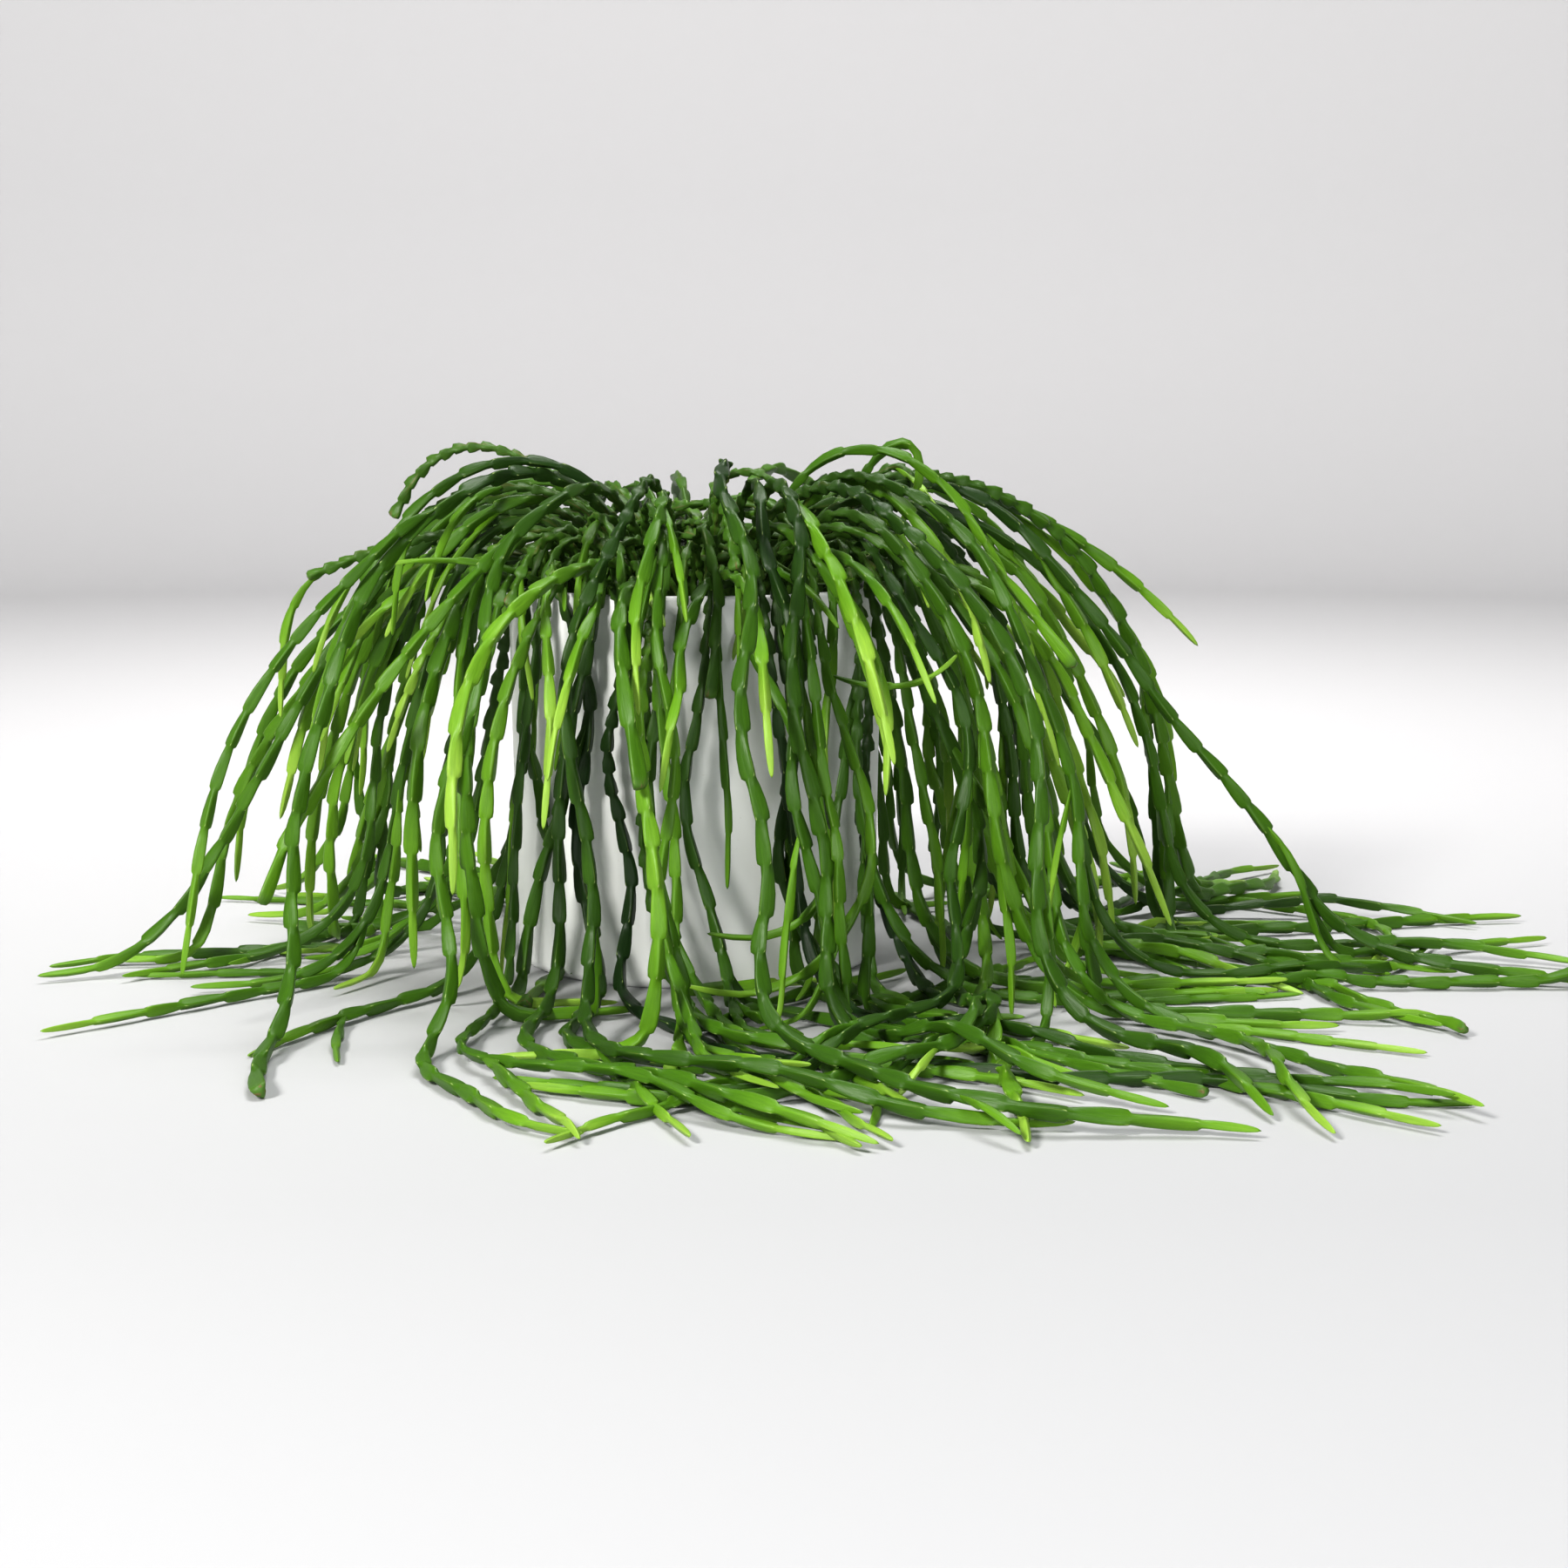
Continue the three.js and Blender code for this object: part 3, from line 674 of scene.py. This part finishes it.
def clear_of_pot_and_floor(line, reach):
    """Moves a line's points out of the pot's wall and above the surface, by the stem's own reach."""
    from_axis = np.hypot(line[:, 0], line[:, 1])
    away = line[:, :2] / np.maximum(from_axis, 1e-9)[:, None]
    outer = mixed(BASE_RADIUS, RIM_RADIUS, np.clip(line[:, 2] / POT_HEIGHT, 0, 1))
    wall = settings().pot.wall
    sideways = np.where(from_axis > outer, from_axis - outer, np.minimum(from_axis - outer + wall, 0))
    above = np.maximum(line[:, 2] - POT_HEIGHT, 0)
    distance = np.hypot(sideways, above)
    missing = np.clip(reach - distance, 0, None)
    near = (distance > 1e-6) & (missing > 0) & (line[:, 2] > 0)
    push = np.where(near, missing / np.maximum(distance, 1e-6), 0)
    line[:, :2] += away * (sideways * push)[:, None]
    line[:, 2] += above * push
    line[:, 2] = np.maximum(line[:, 2], LYING_STEM * reach)
    return line


def headings(line):
    """Unit vectors along the line, and a normal that turns with it as little as it can."""
    ahead = unit(np.gradient(line, axis=0))
    normal = np.zeros_like(ahead)
    first = np.cross(ahead[0], ODD_WAY)
    normal[0] = first / np.linalg.norm(first)
    for index in range(1, len(line)):
        carried = normal[index - 1] - ahead[index] * np.dot(normal[index - 1], ahead[index])
        normal[index] = carried / np.linalg.norm(carried)
    return ahead, normal


# Links

class Stem:
    """One stem's line with what its links need: their lengths, widths, age and finish."""

    def __init__(self, line, draw, kind, old=0.0, blunt=False):
        look = settings().stems
        self.draw = draw
        self.kind = kind
        self.blunt = blunt
        self.old = old
        self.run = runs_along(line)
        self.length = self.run[-1]
        self.widest = look.rib_reach * draw.uniform(*STEM_WIDTHS)
        if kind == "shoot":
            self.widest = look.rib_reach * draw.uniform(*SHOOT_WIDTHS)
        self.line = clear_of_pot_and_floor(line, self.reach_at(self.run))

    def reach_at(self, run):
        """How far the ribs stand from the middle line: thin at the foot and at a growing tip."""
        start, widening_run = STARTS[self.kind]
        reach = self.widest * mixed(start, 1.0, smooth_between(run, 0.0, widening_run))
        if not self.blunt:
            left = self.length - run + TAPER_OVERRUN
            taper = np.clip(left / min(TAPER_LENGTH, self.length * TAPER_SHARE), 0, 1) ** 0.5
            reach = mixed(settings().stems.tip_reach, reach, taper)
        return reach

    def link_length_at(self, run):
        """Short beads near the foot, then grown links, and long ones near the tip."""
        look = settings().stems
        if self.kind == "shoot":
            return look.link_length * SHOOT_LINK
        young = smooth_between(self.length - run, YOUNG_RUN, 0.0)
        grown = mixed(look.link_length, look.link_length * YOUNG_LINK, young)
        beaded = BEADED_RUN + OLD_BEADED_RUN * self.old
        if self.kind in ("main", "crown"):
            past_beads = smooth_between(run, beaded * 0.5, beaded + LAST_BEADS_RUN)
            grown = mixed(look.bead_length, grown, past_beads)
        return grown

    def link_ends(self):
        """Where the links end, stretched a little so that the last one ends with the stem."""
        ends = [0.0]
        while ends[-1] < self.length:
            ends.append(ends[-1] + self.link_length_at(ends[-1]) * self.draw.uniform(*LINK_VARIATION))
        ends = np.array(ends)
        return ends * (self.length / ends[-1])

    def sections(self):
        """For each ring its place on the stem and on its link, the link's number, and how bead-like it is."""
        ends = self.link_ends()
        runs, shares, numbers, beads = [], [], [], []
        for number, (start, end) in enumerate(zip(ends[:-1], ends[1:])):
            along = ALONG_BEAD if end - start < BEAD_SECTIONS_BELOW else ALONG_LINK
            runs.append(start + along * (end - start))
            shares.append(along)
            numbers.append(np.full(len(along), number))
            beads.append(np.full(len(along), smooth_between(end - start, *BEAD_LENGTHS)))
        runs.append([self.length])
        shares.append([1.0 if self.blunt else ALONG_LINK[-1]])
        numbers.append([len(ends) - 2])
        beads.append([0.0])
        return [np.concatenate(values) for values in (runs, shares, numbers, beads)]


def rib_heights(shares, bead):
    """How high a link's own ribs stand, how high its neighbours' ribs still show, and how wide it is."""
    def profile(of_link, of_bead):
        link, beaded = (np.interp(shares, PROFILE_PLACES, each) for each in (of_link, of_bead))
        return mixed(link, beaded, bead)

    others = np.interp(shares, NEIGHBOUR_PLACES, NEIGHBOUR_RIBS)
    return profile(LINK_RIBS, BEAD_RIBS), others, profile(LINK_WIDTHS, BEAD_WIDTHS)


def section_radii(own, others, odd, flat):
    """For each corner of each ring: its radius, whether it is a raised rib's crest, and its rib's height."""
    rib = np.arange(AROUND) // 3
    crest = np.arange(AROUND) % 3 == 1
    raised = rib % 2 == odd[:, None]
    height = np.where(raised, own[:, None], others[:, None])
    crest_radius = flat + (CREST_REACH - flat) * height
    flank_radius = flat + (FLANK_REACH - flat) * height + FLANK_LIFT
    return np.where(crest, crest_radius, flank_radius), raised & crest, height


def stem_mesh(stem):
    """Corners, faces and surface values of one stem."""
    runs, shares, numbers, bead = stem.sections()
    ahead, normal = headings(stem.line)
    middle, forward, side = (interpolated(runs, stem.run, each) for each in (stem.line, ahead, normal))
    forward = unit(forward)
    side = unit(side - forward * np.sum(side * forward, axis=1, keepdims=True))
    other_side = np.cross(forward, side)

    own, others, width = rib_heights(shares, bead)
    flat = SHOOT_FLAT_REACH if stem.kind == "shoot" else FLAT_REACH
    radii, on_rib, height = section_radii(own, others, numbers % 2, flat)
    radius = radii * (stem.reach_at(runs) * width)[:, None]

    twist = stem.draw.uniform(0, 2 * math.pi) + runs * stem.draw.uniform(-MOST_TWIST, MOST_TWIST)
    corner = np.arange(AROUND)
    around = (corner // 3) * (2 * math.pi / RIBS) + (corner % 3 - 1) * RIB_FLANK
    angle = around + twist[:, None]
    cosine, sine = np.cos(angle)[..., None], np.sin(angle)[..., None]
    ways = cosine * side[:, None, :] + sine * other_side[:, None, :]
    rings = middle[:, None, :] + ways * radius[..., None]
    rings[..., 2] = np.maximum(rings[..., 2], LEAST_HEIGHT)

    count = len(runs)
    tip = middle[-1] + forward[-1] * stem.reach_at(runs[-1:]) * (CUT_TIP if stem.blunt else GROWING_TIP)
    tip[2] = max(tip[2], LEAST_TIP_HEIGHT)
    corners = np.vstack([rings.reshape(-1, 3), middle[:1] - forward[:1] * FOOT_CAP, tip[None, :]])
    first, last = count * AROUND, count * AROUND + 1
    following = (corner + 1) % AROUND
    ring_starts = np.arange(count - 1)[:, None] * AROUND
    here, beside = ring_starts + corner, ring_starts + following
    quads = np.stack([here, beside, beside + AROUND, here + AROUND], axis=-1).reshape(-1, 4)
    end_ring = (count - 1) * AROUND
    start_fan = [(first, int(b), int(a)) for a, b in zip(corner, following)]
    end_fan = [(last, int(end_ring + a), int(end_ring + b)) for a, b in zip(corner, following)]
    faces = [tuple(quad) for quad in quads.tolist()] + start_fan + end_fan

    values = surface_values(stem, runs, shares, on_rib, height, middle)
    along_grain = runs * GRAIN_STRETCH + stem.draw.random()
    grain = np.concatenate([
        cosine * GRAIN_RADIUS,
        sine * GRAIN_RADIUS,
        np.broadcast_to(along_grain[:, None, None], angle.shape + (1,)),
    ], axis=-1).reshape(-1, 3)
    grain = np.vstack([grain, grain[:1], grain[-1:]])
    return corners, faces, values, grain


def surface_values(stem, runs, shares, on_rib, height, middle):
    """Age, painted light and shade with tone, rib, areole, cork and blush at every corner."""
    left = stem.length - runs
    age, rises = SHOOT_AGES if stem.kind == "shoot" else CUT_AGES if stem.blunt else GROWING_AGES
    for rise, low, high in rises:
        age = age + rise * smooth_between(left, low, high)
    age = age + OLD_AGE * stem.old
    # Painted light and shade: lighter away from the pot's axis and above the floor, darker in shade near
    # them, mixed with a chance tone for each stem
    outside_pot = smooth_between(np.hypot(middle[:, 0], middle[:, 1]), *LIT_DISTANCES)
    lit = outside_pot * mixed(LEAST_LIT, 1.0, smooth_between(middle[:, 2], *LIT_HEIGHTS))
    sun = PLACE_PAINTED_LIGHT * lit + CHANCE_TONE * stem.draw.random() ** CHANCE_POWER
    cork = np.zeros(len(runs))
    if stem.kind in ("main", "crown"):
        old_cork = OLD_CORK * stem.old * smooth_between(runs, *OLD_CORK_RUNS)
        cork = FOOT_CORK * smooth_between(runs, *FOOT_CORK_RUNS) + old_cork
    if stem.blunt:
        cork = np.maximum(cork, SCAR_CORK * smooth_between(left, SCAR_LENGTH, 0.0))
    link_end = shares[:, None] > AREOLES_FROM
    areole = np.where(on_rib & link_end, SHOOT_AREOLE if stem.kind == "shoot" else 1.0, 0.0)
    values = {
        "age": np.clip(age, 0, 1)[:, None],
        "sun": sun[:, None],
        "cork": cork[:, None],
        "blush": stem.draw.random() ** 2,
        "areole": areole,
        "rib": np.where(on_rib, height, 0.0),
    }
    flat = {name: np.broadcast_to(value, on_rib.shape).reshape(-1) for name, value in values.items()}
    return {name: np.concatenate([value, value[:1], value[-1:]]) for name, value in flat.items()}


# Forks and side shoots

class Crowd:
    """Every stem's points so far, to keep new stems off the ones that are there."""

    def __init__(self, lines):
        self.points = [point for line in lines for point in line[::2]]
        self.rebuild()

    def rebuild(self):
        self.tree = kdtree.KDTree(len(self.points))
        for index, point in enumerate(self.points):
            self.tree.insert(point, index)
        self.tree.balance()

    def add(self, line):
        self.points += list(line[::2])

    def part(self, line, reach, held):
        """Moves the line's points clear of the crowd, except the first few, which are held."""
        for _ in range(PARTING_ROUNDS):
            for index in range(held, len(line)):
                here = line[index].copy()
                pushes = [
                    (here - np.array(place)) * ((reach - distance) / max(distance, 1e-4))
                    for place, _, distance in self.tree.find_range(here, reach)]
                if pushes:
                    line[index] += np.mean(pushes, axis=0) * PARTING_STRENGTH
            middle = 0.5 * (line[:-2] + line[2:])
            line[held:-1] += 0.5 * (middle[held - 1:] - line[held:-1])
        return line


def ground_below(place, reach):
    """The lowest height for a stem's middle: over the pot's rim and soil, or on the surface."""
    over_pot = math.hypot(place[0], place[1]) < RIM_RADIUS + reach and place[2] > SOIL_TOP - RIM_DEPTH
    return POT_HEIGHT + RIM_HEIGHT * reach if over_pot else 0.0


def grown_branch(start, heading, length, droop, reach, top, draw):
    """A branch that starts along heading, stays below top, sags and lies down where it meets the floor.

    It ends early where it would leave the sides of the CAD model's box."""
    place, way = start.copy(), heading / np.linalg.norm(heading)
    points = [place.copy()]
    curl = np.array([*(draw.uniform(-MOST_CURL, MOST_CURL) for _ in range(2)), 0])
    wave_length, phase = draw.uniform(*WAVE_LENGTHS), draw.uniform(0, FULL_TURN)
    for step in range(int(length / GROWTH_STEP)):
        wave = math.sin(step * GROWTH_STEP / wave_length * FULL_TURN + phase)
        way = way + (np.array([0, 0, -droop]) + curl * wave) * GROWTH_STEP
        if place[2] < LANDING_HEIGHT * reach and way[2] < 0:
            way[2] *= LANDING_SLOPE
        if place[2] < ground_below(place, reach):
            way[2] = max(way[2], CLIMBING_SLOPE)
        way[2] = min(way[2], TOP_STIFFNESS * (top - place[2]))
        way /= np.linalg.norm(way)
        place = place + way * GROWTH_STEP
        place[2] = max(place[2], reach)
        if not all(low < along < high for low, along, high in zip(CAD_BOX[0][:2], place, CAD_BOX[1][:2])):
            break
        points.append(place.copy())
    return np.array(points)


def side_way(ahead, draw, low, high):
    """A way that leaves the stem's own at an angle between low and high, in degrees."""
    across = np.cross(ahead, [draw.uniform(-1, 1) for _ in range(3)])
    across /= np.linalg.norm(across)
    angle = math.radians(draw.uniform(low, high))
    return ahead * math.cos(angle) + across * math.sin(angle)


def branch_from(stem, draw, crowd, kind):
    """A fork, a young shoot or an arching crown stem, or None where there is no room for it."""
    look = settings().stems
    places, lengths, angles, droops = BRANCHES[kind]
    index = int(draw.uniform(*places) * (len(stem.line) - 2)) + 1
    start = stem.line[index]
    ahead = stem.line[index + 1] - stem.line[index - 1]
    ahead /= np.linalg.norm(ahead)
    ways = [side_way(ahead, draw, *angles) for _ in range(3)]
    way = min(ways, key=lambda each: each[2])
    if kind == "crown":
        way = max(ways, key=lambda each: each[2])
        if draw.random() < CROWN_TURNED_SHARE:
            azimuth = draw.uniform(0, 2 * math.pi)
            way = np.array([math.cos(azimuth), math.sin(azimuth), 0])
        way[2] = draw.uniform(*CROWN_RISES)
    reach = look.rib_reach * (SHOOT_REACH if kind == "shoot" else 1.0)
    top = max(POT_HEIGHT + draw.uniform(*TOPS_ABOVE_RIM), start[2])
    line = grown_branch(start, way, draw.uniform(*lengths), draw.uniform(*droops), reach, top, draw)
    if len(line) < LEAST_POINTS:
        return None
    line = crowd.part(line, look.rib_reach * (SHOOT_GAP if kind == "shoot" else BRANCH_GAP), HELD_POINTS)
    line[:, 2] = np.maximum(line[:, 2], reach * LYING_BRANCH)
    crowd.add(line)
    blunt = kind != "shoot" and draw.random() < CUT_BRANCH_SHARE
    return Stem(smoothed(line, BRANCH_SMOOTHING), draw, kind, blunt=blunt)


def chosen_branch(cuttings, draw, crowd, kind, old, blunt, points):
    """Grows a chosen branch from the nearest stem, and adds it to that stem's cutting."""
    points = np.array(points) / 1000

    def distances(stem):
        return np.linalg.norm(stem.line - points[0], axis=1)

    pairs = [(name, stem) for name, stems in cuttings.items() for stem in stems]
    name, stem = min(pairs, key=lambda pair: np.min(distances(pair[1])))
    start = stem.line[np.argmin(distances(stem))]
    line = smoothed(np.vstack([start, points[1:]]), BRANCH_SMOOTHING)
    line = crowd.part(line, settings().stems.rib_reach * SHOOT_GAP, HELD_POINTS)
    cuttings[name].append(Stem(smoothed(line, BRANCH_SMOOTHING), draw, kind, old, blunt))


def end_shoot(stem, draw):
    """A thin shoot that hangs from the cut end of an old stem."""
    start = stem.line[-3]
    reach = settings().stems.rib_reach * SHOOT_REACH
    ahead = stem.line[-1] - stem.line[-6]
    length = draw.uniform(*END_SHOOT_LENGTHS)
    line = grown_branch(start, ahead, length, END_SHOOT_DROOP, reach, start[2], draw)
    return Stem(smoothed(line, END_SHOOT_SMOOTHING), draw, "shoot")


def cutting_piece(name, stems, material):
    """One rooted cutting with all that grew from it, as one mesh."""
    corners, faces, grains, values = [], [], [], {}
    offset = 0
    for stem in stems:
        places, stem_faces, stem_values, grain = stem_mesh(stem)
        corners.append(places)
        grains.append(grain)
        faces += [tuple(corner + offset for corner in face) for face in stem_faces]
        for key, value in stem_values.items():
            values.setdefault(key, []).append(value)
        offset += len(places)
    mesh = bpy.data.meshes.new(name + "_stems")
    mesh.from_pydata(np.concatenate(corners).tolist(), [], faces)
    for key, value in values.items():
        attribute = mesh.attributes.new(key, "FLOAT", "POINT")
        attribute.data.foreach_set("value", np.concatenate(value).astype(np.float32))
    attribute = mesh.attributes.new("grain", "FLOAT_VECTOR", "POINT")
    attribute.data.foreach_set("vector", np.concatenate(grains).astype(np.float32).ravel())
    mesh.shade_smooth()
    hand_over(new_object(name + "_stems", mesh), material, "stem_skin", name)


def stem_pieces():
    """Every cutting: its two stems along the frame's lines, and the forks and shoots that they bear."""
    look = settings().stems
    draw = random.Random(look.seed)
    cuttings = {}
    for name in CUTTINGS:
        stems = []
        for points in two_stems(name):
            line = smoothed(points)
            length = len(line) * LINE_STEP
            arching = length < SHORT_STEM and points[-1][2] > SOIL_TOP + ARCH_END
            old = 1.0 if arching else MOST_AGED * draw.random() ** 3
            blunt = arching or draw.random() < (SHORT_CUT_SHARE if length < SHORT_STEM else LONG_CUT_SHARE)
            stems.append(Stem(line, draw, "main", old, blunt))
        cuttings[name] = stems
    crowd = Crowd([stem.line for stems in cuttings.values() for stem in stems])
    for stems in cuttings.values():
        for stem in list(stems):
            if stem.old == 1.0:
                stems.append(end_shoot(stem, draw))
            branches = ["crown"] * (draw.random() < look.crown_share)
            for least, share in FORKS:
                branches += ["fork"] * (stem.length > least and draw.random() < look.fork_share * share)
            branches += ["shoot"] * (draw.random() < look.shoot_share)
            grown = [branch_from(stem, draw, crowd, kind) for kind in branches]
            stems += [branch for branch in grown if branch]
        crowd.rebuild()
    for chosen in CHOSEN_BRANCHES:
        chosen_branch(cuttings, draw, crowd, *chosen)
    material = stem_material()
    for name, stems in cuttings.items():
        cutting_piece(name, stems, material)


# Stage

def soft_light(name, place, aim, size, power, colour):
    """A round area light that is aimed at a point."""
    data = bpy.data.lights.new(name, "AREA")
    data.shape = "DISK"
    data.size = size
    data.energy = power
    data.color = colour
    light = new_object(name, data)
    light.location = place
    light.rotation_euler = (Vector(aim) - Vector(place)).to_track_quat("-Z", "Y").to_euler()


def plain_material(name, colour, roughness):
    return Shader(name).finish(Base_Color=tuple(colour), Roughness=roughness)


def sweep_piece():
    """A round floor that curves up into a low wall all around, so every view has a plain backdrop."""
    look = settings().stage
    start_fresh()
    bpy.ops.mesh.primitive_circle_add(vertices=96, radius=look.sweep_radius, fill_type="NGON")
    sweep = bpy.context.object
    sweep.name = "studio_floor"
    bpy.ops.object.mode_set(mode="EDIT")
    for step in range(BEND_STEPS):
        angles = [math.pi / 2 * (step + share) / BEND_STEPS for share in (0, 1)]
        outward = BEND_RADIUS * (math.sin(angles[1]) - math.sin(angles[0]))
        upward = BEND_RADIUS * (math.cos(angles[0]) - math.cos(angles[1]))
        only_select("edges", lambda edge: edge.is_boundary)
        radius = look.sweep_radius + BEND_RADIUS * math.sin(angles[0])
        bpy.ops.mesh.extrude_edges_move(TRANSFORM_OT_translate={"value": (0, 0, upward)})
        wider = 1 + outward / radius
        bpy.ops.transform.resize(value=(wider, wider, 1), center_override=(0, 0, 0))
    only_select("edges", lambda edge: edge.is_boundary)
    bpy.ops.mesh.extrude_edges_move(TRANSFORM_OT_translate={"value": (0, 0, look.wall_height)})
    bpy.ops.object.mode_set(mode="OBJECT")
    sweep.data.shade_smooth()
    sweep.data.materials.append(plain_material("studio_paper", look.floor_colour, roughness=0.75))


def stage_pieces():
    """The floor, the light from all around, four soft lights, the camera and the view's contrast."""
    look = settings().stage
    sweep_piece()
    scene = bpy.context.scene
    world = bpy.data.worlds.new("studio_air")
    world.use_nodes = True
    air = world.node_tree.nodes["Background"]
    air.inputs["Color"].default_value = (*look.air_colour, 1)
    air.inputs["Strength"].default_value = look.air_strength
    scene.world = world
    for name, place, aim, size, share, colour in LIGHTS:
        soft_light(name, place, aim, size, look.key_power * share, colour)
    data = bpy.data.cameras.new("camera")
    data.lens = look.lens
    camera = new_object("camera", data)
    camera.location = (look.camera_aside, -look.camera_distance, look.camera_height)
    camera.rotation_euler = (math.pi / 2 - look.camera_pitch, 0, 0)
    scene.camera = camera
    scene.view_settings.view_transform = "Standard"
    scene.view_settings.gamma = look.gamma


# Add-on

def colour_property(name, description, default):
    return bpy.props.FloatVectorProperty(
        name=name, description=description, default=default, subtype="COLOR", min=0, max=1)


def number_property(name, description, default, **options):
    return bpy.props.FloatProperty(name=name, description=description, default=default, **options)


def length_property(name, description, default):
    return number_property(name, description, default, unit="LENGTH", min=0)


class ChainCactusPot(bpy.types.PropertyGroup):
    wall: length_property("Wall", "Thickness of the pot's wall", 0.005)
    floor: length_property("Floor", "Thickness of the pot's floor", 0.008)
    base_rounding: length_property("Base Rounding", "Radius of the base's edge", 0.005)
    rim_rounding: length_property("Rim Rounding", "Radius of the rim's edges", 0.002)
    colour: colour_property("Glaze", "Colour of the glaze", (0.86, 0.87, 0.85))
    roughness: number_property("Roughness", "Roughness of the glaze", 0.42)


class ChainCactusSoil(bpy.types.PropertyGroup):
    colour: colour_property("Soil", "Colour of the lighter grains", (0.075, 0.048, 0.028))
    crumbs: bpy.props.IntProperty(name="Crumbs", description="Number of bark chips", default=420, min=0)
    crumb_size: length_property("Crumb Size", "Radius of a bark chip", 0.0034)


class ChainCactusStems(bpy.types.PropertyGroup):
    rib_reach: length_property("Rib Reach", "From a stem's middle to its ribs at the widest", 0.0040)
    tip_reach: length_property("Tip Reach", "The same at a growing tip", 0.0008)
    link_length: length_property("Link Length", "Length of a grown link", 0.0195)
    bead_length: length_property("Bead Length", "Length of an old link by the foot", 0.0078)
    fork_share: number_property("Forks", "Share of stems that fork", 0.75)
    shoot_share: number_property("Shoots", "Share with a young shoot", 0.55)
    crown_share: number_property("Crown", "Share with an arching branch", 0.5)
    tip_colour: colour_property("Tip", "Colour of growing tips", (0.26, 0.43, 0.055))
    young_colour: colour_property("Young", "Colour of young links", (0.122, 0.272, 0.013))
    grown_colour: colour_property("Grown", "Colour of grown links", (0.052, 0.142, 0.005))
    old_colour: colour_property("Old", "Colour of old links", (0.007, 0.026, 0.004))
    seed: bpy.props.IntProperty(name="Seed", description="Seed of the plant's chance features", default=3)


class ChainCactusStage(bpy.types.PropertyGroup):
    camera_distance: length_property("Distance", "From the pot's axis to the camera", 1.419)
    camera_aside: length_property("Aside", "How far the camera stands to the right", 0.045)
    camera_height: length_property("Height", "Camera above the surface", 0.29)
    camera_pitch: number_property(
        "Pitch", "How far the camera looks down", math.radians(8.08), subtype="ANGLE")
    lens: number_property("Lens", "Focal length in millimetres", 64.0)
    sweep_radius: length_property("Floor Radius", "Radius of the flat floor", 2.7)
    wall_height: length_property("Wall Height", "Height of the backdrop above its bend", 1.2)
    floor_colour: colour_property("Floor", "Colour of the floor and backdrop", (0.50, 0.502, 0.51))
    air_colour: colour_property("Air", "Colour of the light from all around", (0.97, 0.98, 1.0))
    air_strength: number_property("Air", "Light from all around", 0.09)
    key_power: number_property("Key", "Main light", 86.0, unit="POWER")
    gamma: number_property("Gamma", "Below 1 for deeper darks", 0.86)


class ChainCactusSettings(bpy.types.PropertyGroup):
    pot: bpy.props.PointerProperty(type=ChainCactusPot)
    soil: bpy.props.PointerProperty(type=ChainCactusSoil)
    stems: bpy.props.PointerProperty(type=ChainCactusStems)
    stage: bpy.props.PointerProperty(type=ChainCactusStage)


class CHAINCACTUS_OT_pot(bpy.types.Operator):
    """Make the glazed pot"""

    bl_idname = "chain_cactus.pot"
    bl_label = "Make Pot"

    def execute(self, context):
        pot_piece()
        return {"FINISHED"}


class CHAINCACTUS_OT_soil(bpy.types.Operator):
    """Make the potting soil with its bark chips and perlite"""

    bl_idname = "chain_cactus.soil"
    bl_label = "Make Soil"

    def execute(self, context):
        soil_piece()
        crumb_pieces()
        return {"FINISHED"}


class CHAINCACTUS_OT_stems(bpy.types.Operator):
    """Make every cutting's linked stems, forks and young shoots"""

    bl_idname = "chain_cactus.stems"
    bl_label = "Make Stems"

    def execute(self, context):
        stem_pieces()
        return {"FINISHED"}


class CHAINCACTUS_OT_stage(bpy.types.Operator):
    """Make the floor, the lights and the camera"""

    bl_idname = "chain_cactus.stage"
    bl_label = "Make Stage"

    def execute(self, context):
        stage_pieces()
        return {"FINISHED"}


class CHAINCACTUS_PT_panel(bpy.types.Panel):
    """Lists the steps that make the potted chain cactus"""

    bl_label = "Chain Cactus"
    bl_idname = "CHAINCACTUS_PT_panel"
    bl_space_type = "VIEW_3D"
    bl_region_type = "UI"
    bl_category = "Chain Cactus"

    def draw(self, context):
        groups = context.scene.chain_cactus
        for name, operator in OPERATORS:
            column = self.layout.column(align=True)
            column.operator(operator.bl_idname)
            group = getattr(groups, name)
            for key in group.__annotations__:
                column.prop(group, key)


OPERATORS = (
    ("stage", CHAINCACTUS_OT_stage),
    ("pot", CHAINCACTUS_OT_pot),
    ("soil", CHAINCACTUS_OT_soil),
    ("stems", CHAINCACTUS_OT_stems),
)
CLASSES = (
    ChainCactusPot, ChainCactusSoil, ChainCactusStems, ChainCactusStage, ChainCactusSettings,
    *(operator for _, operator in OPERATORS), CHAINCACTUS_PT_panel,
)


def register():
    for each in CLASSES:
        bpy.utils.register_class(each)
    bpy.types.Scene.chain_cactus = bpy.props.PointerProperty(type=ChainCactusSettings)


def unregister():
    del bpy.types.Scene.chain_cactus
    for each in reversed(CLASSES):
        bpy.utils.unregister_class(each)


def main():
    register()
    bpy.ops.chain_cactus.stage()
    bpy.ops.chain_cactus.pot()
    bpy.ops.chain_cactus.soil()
    bpy.ops.chain_cactus.stems()


if __name__ == "__main__":
    main()
